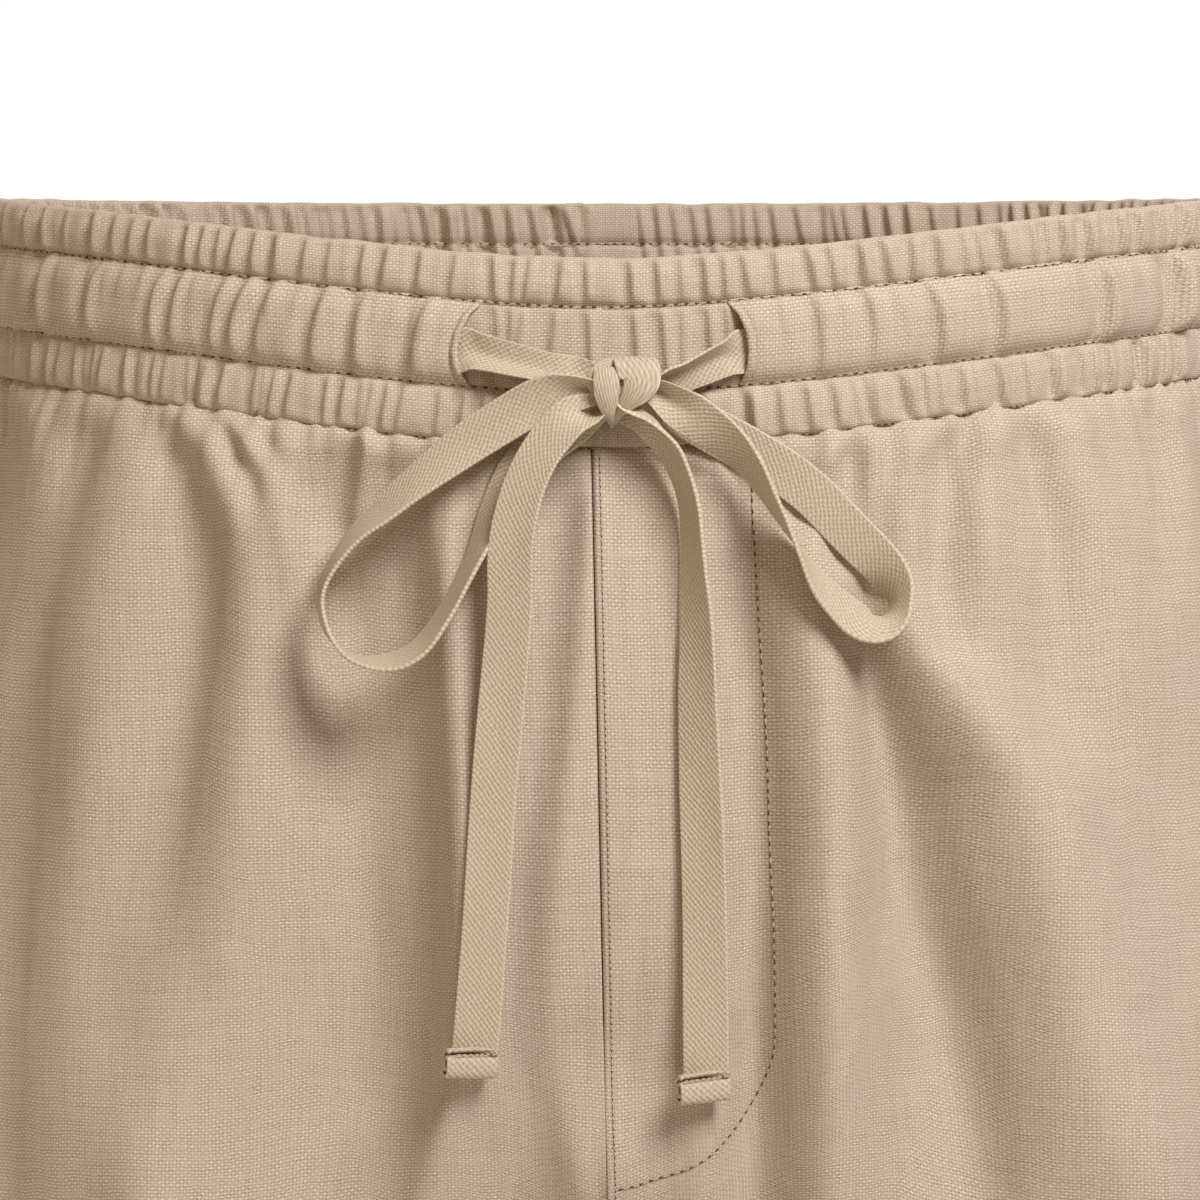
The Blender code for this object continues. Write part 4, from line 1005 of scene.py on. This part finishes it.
def bodyPanel(name, node, side, atFront):
    # A front or back, clear of its neighbour at the side, turned in along its long edges, with its top row
    # tucked up behind the band.
    part, level = panelGrid(atFront)
    if side < 0:
        part = part[:, ::-1]
    points = bodySurface(side, part, level)[0]
    points[..., 1] += panelSkin["sideClearance"] * (-1 if atFront else 1)
    points[:, [0, -1]] -= outward(side, part, level)[:, [0, -1]] * panelSkin["turnedIn"]
    points[0] += points[0] * [-0.007, -0.01, 0] + [0, 0, panelSkin["tuckedUp"]]
    across = lengthAlong(plainForm(side, part, level)[0], axis=1)
    if side < 0:
        across = across - across[:, -1:]
    uv = np.stack([across, lengthAlong(points) - points[:1, :, 2]], axis=-1)
    made = putMesh(name, points, gridFaces(*part.shape), uv, closed=False)
    settle(addWall(made, panelSkin["wall"]), "cotton_cloth", node)
    return made


print("hanging the fronts and backs")
bodyPieces = [
    bodyPanel("leftFront", "front_left", 1, True),
    bodyPanel("rightFront", "front_right", -1, True),
    bodyPanel("leftBack", "back_left", 1, False),
    bodyPanel("rightBack", "back_right", -1, False),
]

hemSkin = {"depth": 25, "wall": 0.9, "stitchRise": 22.5}


def legHem(name, node, side):
    # The turned-up layer inside a leg: the body's own surface, moved in by the cloth's thickness.
    part = np.linspace(0, 1, 181)[:-1]
    level = 2 - np.linspace(hemSkin["depth"], 0.2, 8) / (bodyForm["crotchHeight"] - bodyForm["hemHeight"])
    part, level = np.meshgrid(part if side > 0 else part[::-1], level)
    points, down = bodySurface(side, part, level, -panelSkin["wall"] - 0.5)
    uv = np.stack([lengthAlong(points, axis=1), down], axis=-1)
    made = putMesh(name, points, gridFaces(*part.shape, closedAcross=True), uv, closed=False)
    settle(addWall(made, hemSkin["wall"]), "cotton_cloth", node)
    return made


hemPieces = [legHem("leftLegHem", "hem_left", 1), legHem("rightLegHem", "hem_right", -1)]

# Stitching: light threads, and between them dark beads of painted shade where the needle holes are, as joined
# beads along each row. A make is its pitch, then the length, width and height of a thread and of a painted
# hole-shade bead.
stitchMakes = {
    "plain": (2.6, (1.5, 0.36, 0.26), (1.15, 0.42, 0.32)),
    "waistSeam": (1.9, (0.8, 0.28, 0.2), (0.75, 0.3, 0.26)),
    "centreEdge": (1.7, (1.15, 0.3, 0.22), (0.6, 0.3, 0.2)),
    "tapeEnd": (1.5, (1.1, 0.34, 0.3), (0.75, 0.34, 0.24)),
}


def beads(places, along, out, size):
    # One bead for each place: a rounded rod of six sides along the row, in the row's own directions.
    swing, turn = np.meshgrid(np.linspace(0.3, math.pi - 0.3, 4), np.arange(6) * math.pi / 3, indexing="ij")
    radius = np.sin(swing) ** 0.5 / 2
    shape = np.stack([-np.cos(swing) / 2, radius * np.cos(turn), radius * np.sin(turn)], axis=-1) * size
    points = places[:, None] + shape.reshape(-1, 3) @ np.stack([along, np.cross(out, along), out], axis=1)
    first = np.arange(len(places)) * 24
    sides = (np.array(gridFaces(4, 6, closedAcross=True)) + first[:, None, None]).reshape(-1, 4).tolist()
    ends = (np.arange(24).reshape(4, 6)[[0, 3]] + first[:, None, None]).reshape(-1, 6).tolist()
    return points, sides + ends


def stitchRow(name, path, normals, make="plain", slot="cotton_cloth"):
    # path is a close polyline: threads lie along it a pitch apart, with a dark bead of painted shade where
    # each one dives into its needle hole.
    pitch, *sizes = stitchMakes[make]
    travelled = lengthAlong(path)
    chance = np.random.default_rng(int(travelled[-1]))
    at = np.arange(0.5 * pitch, travelled[-1] - 0.3 * pitch, pitch)
    at = at + chance.uniform(-0.06, 0.06, len(at)) * pitch

    def along(values, where):
        return np.stack([np.interp(where, travelled, column) for column in values.T], axis=-1)

    skins = []
    # The second beads, lifted less, are the needle holes' painted shade.
    for where, size, lift in zip((at, at + pitch / 2), sizes, (0.12, 0.02)):
        where = where[where < travelled[-1] - 0.1]
        heading = unit(along(path, where + 0.2) - along(path, where - 0.2))
        out = along(normals, where)
        out = unit(out - heading * (out * heading).sum(axis=-1, keepdims=True))
        tilt = chance.normal(0, 0.07, len(where))[:, None]
        heading = unit(heading + np.cross(out, heading) * tilt)
        skins.append(beads(along(path, where) + out * lift, heading, out, size))
    points, faces = joinSkins(skins)
    made = settle(putMesh(name, points, faces, points[:, [0, 2]]), slot)
    made.data.materials.append(None)
    made.data.materials.append(None)
    kinds = np.repeat([0, 1], [len(skin[1]) for skin in skins])
    made.data.polygons.foreach_set("material_index", kinds.tolist())
    return made


def bandRow(name, drop, out, make="plain", slot="cotton_cloth", facing=1):
    # A row right round the waist at a drop below the rim, seen from outside, or from inside by facing -1.
    around = np.arange(0.0, roundWaist, 0.5)
    wavy = drop + bandScallop(fromCentre(around), drop)
    here = waistPoint(turnAt(around), wavy, out)
    normals = (waistPoint(turnAt(around), wavy, out + 1) - here) * facing
    return stitchRow(name, here, normals, make, slot)


def onBody(side, part, level, lift=0.3):
    # Points just off the body's skin, and the directions out of it.
    return bodySurface(side, part, level, lift)[0], outward(side, part, level)


# The mock fly's stitching: down the left front and round to the centre seam, as across and drop.
flyStitch = (
    (36.2, 53.0), (37.2, 66.0), (38.6, 86.0), (40.4, 110.0), (41.6, 135.0), (42.6, 160.0), (43.0, 185.0),
    (42.2, 194.0), (39.0, 202.6), (34.0, 209.8), (27.0, 215.4), (18.0, 220.2), (9.0, 222.8), (4.0, 223.4),
)

print("sewing the stitch rows")
flyCurve = curveThrough(flyStitch, 12)
flyPlace = bodyPlace(1, flyCurve[:, 0], frontRim - flyCurve[:, 1])
stitchPieces = [
    bandRow("topStitchRow", waistForm["topStitchDrop"], -0.3),
    bandRow("lowStitchRow", waistForm["lowStitchDrop"], -0.3),
    bandRow("insideStitchRow", waistForm["topStitchDrop"], -2.5, slot="cotton_band", facing=-1),
    bandRow("waistSeamRow", waistForm["bandHeight"] + 0.1, -0.7, "waistSeam"),
    stitchRow("flyStitchRow", *onBody(1, *flyPlace, 0.32)),
]
# The row down the left front's edge keeps beside the centre seam, from just below the band to the crotch.
edgeRow = {"beside": 1.9, "levels": (0.004, 0.9)}
edgeLevels = np.linspace(*edgeRow["levels"], 400)
edge = plainForm(1, 0 * edgeLevels, edgeLevels)[0]
besideSeam = bodyPlace(1, edge[:, 0] + edgeRow["beside"], edge[:, 2])
stitchPieces.append(stitchRow("centreEdgeRow", *onBody(1, *besideSeam), "centreEdge"))
for name, seam in (("leftEndSeam", endSeamLeft), ("rightEndSeam", endSeamRight)):
    stitchPieces.append(stitchRow(name, *seam, "tapeEnd", "twill_tape"))
for side, name in ((1, "leftHemRow"), (-1, "rightHemRow")):
    part = np.linspace(0.003, 0.997, 700)
    level = 0 * part + 2 - hemSkin["stitchRise"] / (bodyForm["crotchHeight"] - bodyForm["hemHeight"])
    stitchPieces.append(stitchRow(name, *onBody(side, part, level)))


def linear(hexColour):
    # An sRGB hex colour as linear red, green, blue and alpha.
    values = [int(hexColour[k : k + 2], 16) / 255 for k in (1, 3, 5)]
    return (*[v / 12.92 if v <= 0.04045 else ((v + 0.055) / 1.055) ** 2.4 for v in values], 1)


def addNode(tree, kind, inputs=None, **settings):
    # Adds a node, sets its settings, fills each input with a value or a link, and gives its outputs.
    node = tree.nodes.new("ShaderNode" + kind)
    for name, value in settings.items():
        setattr(node, name, value)
    for socket, source in (inputs or {}).items():
        if isinstance(source, bpy.types.NodeSocket):
            tree.links.new(source, node.inputs[socket])
        else:
            node.inputs[socket].default_value = source
    return node.outputs


def startMaterial(name, finish):
    # A new node material with the finish's roughness, shine and sheen of fibres.
    made = bpy.data.materials.new(name)
    made.use_nodes = True
    shader = made.node_tree.nodes["Principled BSDF"]
    shader.inputs["Roughness"].default_value = finish["roughness"]
    shader.inputs["Specular IOR Level"].default_value = finish["specular"]
    shader.inputs["Sheen Weight"].default_value = finish["sheen"]
    shader.inputs["Sheen Roughness"].default_value = 0.45
    shader.inputs["Sheen Tint"].default_value = linear(finish["light"])
    return made, made.node_tree, shader


def paint(tree, shader, share, finish, edge=None):
    # The shader's colour, from the finish's dark to its light by share, and its edge's colour where asked.
    colours = {0: share, 6: linear(finish["dark"]), 7: linear(finish["light"])}
    colour = addNode(tree, "Mix", colours, data_type="RGBA")[2]
    if edge is not None:
        colour = addNode(tree, "Mix", {0: edge, 6: colour, 7: linear(finish["edge"])}, data_type="RGBA")[2]
    tree.links.new(colour, shader.inputs["Base Color"])


def raiseRelief(tree, shader, height, finish):
    # The height, times the finish's relief in millimetres, as the shader's bumps.
    relief = addNode(tree, "Bump", {"Strength": 1.0, "Distance": finish["relief"] * mm, "Height": height})
    tree.links.new(relief["Normal"], shader.inputs["Normal"])


# Plain-weave cotton and linen cloth: thick threads a pitch apart, with small dark gaps at their crossings,
# give a dry, grainy face with faint slubs. It is matt, with a soft bloom of fibre ends at a glancing angle.
# Lengths are millimetres, slubStretch is how little the slubs change along a thread, and the rest are shares.
clothFinish = {
    "light": "#DED1BF", "dark": "#9C7F60", "pitch": 0.84, "relief": 0.08, "roughness": 0.95, "specular": 0.15,
    "sheen": 0.14, "checker": 0.18, "slub": 0.24, "fibre": 0.2, "cloud": 0.06, "jitter": 0.45, "drift": 1.2,
    "warpRise": 0.86, "meanRise": 0.78, "slubStretch": (0.05, 0.07), "middle": 0.58,
}


def plainWeave(name, finish):
    made, tree, shader = startMaterial(name, finish)
    add = partial(addNode, tree)
    place = add("UVMap", uv_map="clothMillimetres")["UV"]
    drift = add("TexNoise", {"Vector": place, "Scale": 0.09, "Detail": 3.0, "Roughness": 0.55})["Color"]
    moved = add("VectorMath", {0: drift, 1: (0.5, 0.5, 0.5)}, operation="SUBTRACT")["Vector"]
    wander = (finish["drift"], finish["drift"], 0)
    moved = add("VectorMath", {0: moved, 1: wander}, operation="MULTIPLY")["Vector"]
    moved = add("VectorMath", {0: place, 1: moved}, operation="ADD")["Vector"]
    jitter = add("TexNoise", {"Vector": place, "Scale": 0.8, "Detail": 1.0})["Color"]
    shift = (finish["jitter"],) * 3
    moved = add("VectorMath", {0: jitter, 1: shift, 2: moved}, operation="MULTIPLY_ADD")["Vector"]
    threads = (math.pi / finish["pitch"],) * 3
    turned = add("VectorMath", {0: moved, 1: threads}, operation="MULTIPLY")["Vector"]
    waves = add("VectorMath", {0: turned}, operation="SINE")["Vector"]
    wave = add("SeparateXYZ", {0: waves})
    over = add("Math", {0: wave["X"], 1: wave["Y"]}, operation="MULTIPLY")["Value"]
    warpWave = add("Math", {0: wave["X"]}, operation="ABSOLUTE")["Value"]
    weftWave = add("Math", {0: wave["Y"]}, operation="ABSOLUTE")["Value"]
    warpWave = add("Math", {0: warpWave, 1: finish["warpRise"]}, operation="MULTIPLY")["Value"]
    ridges = add("Math", {0: weftWave, 1: warpWave}, operation="MAXIMUM")["Value"]
    ridges = add("Math", {0: ridges, 1: finish["meanRise"]}, operation="SUBTRACT")["Value"]
    weave = add("Math", {0: over, 1: finish["checker"], 2: ridges}, operation="MULTIPLY_ADD")["Value"]
    weftStretch, warpStretch = finish["slubStretch"]
    weftPlace = add("Mapping", {"Vector": moved, "Scale": (weftStretch, 1 / finish["pitch"], 1)})["Vector"]
    warpPlace = add("Mapping", {"Vector": moved, "Scale": (1 / finish["pitch"], warpStretch, 1)})["Vector"]
    weftSlub = add("TexNoise", {"Vector": weftPlace, "Scale": 1.0, "Detail": 1.5})["Fac"]
    warpSlub = add("TexNoise", {"Vector": warpPlace, "Scale": 1.0, "Detail": 1.5})["Fac"]
    slub = add("Math", {0: weftSlub, 1: warpSlub}, operation="ADD")["Value"]
    grain = add("TexNoise", {"Vector": place, "Scale": 0.3, "Detail": 2.0})["Fac"]
    sharp = add("MapRange", {0: grain, 1: 0.3, 2: 0.7, 3: 0.4, 4: 1.3})[0]
    fibre = add("TexNoise", {"Vector": place, "Scale": 1.5, "Detail": 2.0})["Fac"]
    cloud = add("TexNoise", {"Vector": place, "Scale": 0.03, "Detail": 3.0})["Fac"]
    height = add("Math", {0: weave, 1: sharp, 2: slub}, operation="MULTIPLY_ADD")["Value"]
    middle = finish["middle"] - finish["slub"] - 0.5 * (finish["fibre"] + finish["cloud"])
    tone = add("Math", {0: weave, 1: sharp, 2: middle}, operation="MULTIPLY_ADD")["Value"]
    for part, share in ((slub, finish["slub"]), (fibre, finish["fibre"]), (cloud, finish["cloud"])):
        tone = add("Math", {0: part, 1: share, 2: tone}, operation="MULTIPLY_ADD")["Value"]
    tone = add("Math", {0: tone, 1: 0.0}, operation="ADD", use_clamp=True)["Value"]
    paint(tree, shader, tone, finish)
    raiseRelief(tree, shader, height, finish)
    return made


# Cotton twill tape: rows of small oblong grains on a steep diagonal, with a flat firm selvedge on each side.
# Each set of ribs is its count in a millimetre across and along the tape, and its share of the height. The
# selvedge starts at edgeAt, as millimetres from the middle, and its stitches are dashes on a slant. These
# dashes are its own weave, and its lighter colour is a painted highlight along the tape's thicker edge.
tapeFinish = {
    "light": "#E4D7C0", "dark": "#9A7C5B", "edge": "#DCCBAF", "edgeAt": (4.9, 5.2), "relief": 0.2,
    "roughness": 0.9, "specular": 0.15, "sheen": 0.15,
    "ribs": ((0.75, 0.62, 0.2), (0.62, -0.69, 0.09), (1.2, 0.0, 0.05)),
    "wander": 0.8, "dash": (2.2, 5.2, 0), "dashDepth": 0.28, "dashMean": 0.62, "selvedgeHighlightShare": 0.35,
}


def twill(name, finish):
    made, tree, shader = startMaterial(name, finish)
    add = partial(addNode, tree)
    place = add("UVMap", uv_map="clothMillimetres")["UV"]
    drift = add("TexNoise", {"Vector": place, "Scale": 0.35, "Detail": 2.0})["Color"]
    wander = (finish["wander"], finish["wander"], 0)
    moved = add("VectorMath", {0: drift, 1: wander, 2: place}, operation="MULTIPLY_ADD")["Vector"]
    face = 0.5
    for across, along, share in finish["ribs"]:
        heading = (2 * math.pi * across, 2 * math.pi * along, 0)
        phase = add("VectorMath", {0: moved, 1: heading}, operation="DOT_PRODUCT")["Value"]
        rib = add("Math", {0: phase}, operation="SINE")["Value"]
        face = add("Math", {0: rib, 1: share, 2: face}, operation="MULTIPLY_ADD")["Value"]
    fromMiddle = add("SeparateXYZ", {0: place})["X"]
    fromMiddle = add("Math", {0: fromMiddle}, operation="ABSOLUTE")["Value"]
    edgeFrom, edgeFull = finish["edgeAt"]
    onEdge = add("MapRange", {0: fromMiddle, 1: edgeFrom, 2: edgeFull})[0]
    dash = add("VectorMath", {0: moved, 1: finish["dash"]}, operation="DOT_PRODUCT")["Value"]
    dash = add("Math", {0: dash}, operation="SINE")["Value"]
    dashShape = {0: dash, 1: finish["dashDepth"], 2: finish["dashMean"]}
    dash = add("Math", dashShape, operation="MULTIPLY_ADD")["Value"]
    height = add("Mix", {0: onEdge, 2: face, 3: dash})[0]
    fibre = add("TexNoise", {"Vector": place, "Scale": 1.4, "Detail": 2.0})["Fac"]
    tone = add("Math", {0: fibre, 1: 0.6, 2: -0.12}, operation="MULTIPLY_ADD")["Value"]
    tone = add("Math", {0: height, 1: 0.8, 2: tone}, operation="MULTIPLY_ADD", use_clamp=True)["Value"]
    # Here the selvedge is painted lighter: a painted highlight along the tape's thicker edge.
    edge = add("Math", {0: onEdge, 1: finish["selvedgeHighlightShare"]}, operation="MULTIPLY")["Value"]
    paint(tree, shader, tone, finish, edge)
    raiseRelief(tree, shader, height, finish)
    return made


# Spun polyester sewing thread, and the dark painted shade of the needle holes that it dives into.
threadFinish = {"light": "#D8C6A8", "dark": "#AD9270", "roughness": 0.7, "specular": 0.3, "sheen": 0.1}
needleHoleShadeFinish = {"light": "#6F5640", "dark": "#4F3B29", "roughness": 0.95, "specular": 0.1, "sheen": 0.0}


def sewnThread(name, finish):
    made, tree, shader = startMaterial(name, finish)
    place = addNode(tree, "TexCoord")["Object"]
    twist = {"Vector": place, "Scale": 900.0, "Distortion": 2.0}
    paint(tree, shader, addNode(tree, "TexWave", twist, bands_direction="DIAGONAL")["Fac"], finish)
    return made


print("dyeing the cloth")
bodyCloth = plainWeave("sandPlainWeaveCotton", clothFinish)
bandCloth = plainWeave("sandWaistbandCotton", {**clothFinish, "light": "#DFD2C0", "dark": "#9B7E5F"})
stringTape = twill("cottonTwillTape", tapeFinish)
sewing = sewnThread("sandSewingThread", threadFinish)
needleHoleShade = sewnThread("paintedNeedleHoleShade", needleHoleShadeFinish)
for piece, finish in (
    *((piece, bodyCloth) for piece in (channelPiece, *bodyPieces, *hemPieces)),
    *((piece, stringTape) for piece in tapePieces),
    (bandPiece, bandCloth),
):
    piece.data.materials.clear()
    piece.data.materials.append(finish)
for piece in stitchPieces:
    piece.data.materials[0] = sewing
    # The second slot takes the dark beads of the needle holes' painted shade.
    piece.data.materials[1] = needleHoleShade

# A soft key from high on the wearer's left, a wide weak fill, two softboxes for the back, white all round,
# and a pale floor.
studio = {
    "key": {"at": (0.48, -0.87, 0.73), "size": 0.54, "power": 16.3, "tint": (0.96, 0.98, 1.0)},
    "fill": {"at": (-1.5, -1.3, 0.2), "size": 1.6, "power": 4.8, "tint": (1.0, 0.78, 0.56)},
    "backLeft": {"at": (1.0, 1.5, 0.7), "size": 1.0, "power": 16, "tint": (1.0, 0.96, 0.9)},
    "backRight": {"at": (-1.3, 1.3, 0.5), "size": 1.2, "power": 10, "tint": (1.0, 0.94, 0.86)},
    "sky": 0.175, "skyTint": (1.0, 0.78, 0.56, 1), "floorDrop": 180, "floorHalf": 1500,
}
for name in ("key", "fill", "backLeft", "backRight"):
    lamp = bpy.data.lights.new(name + "Softbox", "AREA")
    lamp.shape, lamp.size, lamp.energy = "DISK", studio[name]["size"], studio[name]["power"]
    lamp.color = studio[name]["tint"]
    softbox = bpy.data.objects.new(name + "Softbox", lamp)
    bpy.context.scene.collection.objects.link(softbox)
    softbox.location = studio[name]["at"]
    aim = Vector((0, -0.1, -0.13)) - softbox.location
    softbox.rotation_euler = aim.to_track_quat("-Z", "Y").to_euler()

world = bpy.data.worlds.new("whiteStudio")
bpy.context.scene.world = world
world.use_nodes = True
tree = world.node_tree
add = partial(addNode, tree)
rays = add("LightPath")
seen = add("Math", {0: rays["Is Camera Ray"], 1: rays["Is Glossy Ray"]}, operation="MAXIMUM")["Value"]
seen = add("Math", {0: seen, 1: rays["Is Transmission Ray"]}, operation="MAXIMUM")["Value"]
strength = add("MapRange", {0: seen, 3: studio["sky"], 4: 1.0})[0]
white = add("Mix", {0: seen, 6: studio["skyTint"], 7: (1.0, 1.0, 1.0, 1.0)}, data_type="RGBA")[2]
tree.links.new(white, tree.nodes["Background"].inputs["Color"])
tree.links.new(strength, tree.nodes["Background"].inputs["Strength"])

height, half = bodyForm["hemHeight"] - studio["floorDrop"], studio["floorHalf"]
corners = np.array([(-half, -half), (half, -half), (half, half), (-half, half)])
places = np.column_stack([corners, np.full(4, height)])
floor = putMesh("paleFloor", places, [(0, 1, 2, 3)], corners, closed=False)
# Painted studio floor: matt off-white with faint roller clouds.
floorPaint = bpy.data.materials.new("mattWhiteFloorPaint")
floorPaint.use_nodes = True
tree = floorPaint.node_tree
coat = tree.nodes["Principled BSDF"]
coat.inputs["Roughness"].default_value = 0.8
clouds = addNode(tree, "TexNoise", {"Scale": 6.0, "Detail": 3.0})["Fac"]
paint(tree, coat, clouds, {"dark": "#E9E7E3", "light": "#F1EFEC"})
floor.data.materials.append(floorPaint)

bpy.context.scene.view_settings.view_transform = "Standard"
print("shorts finished")
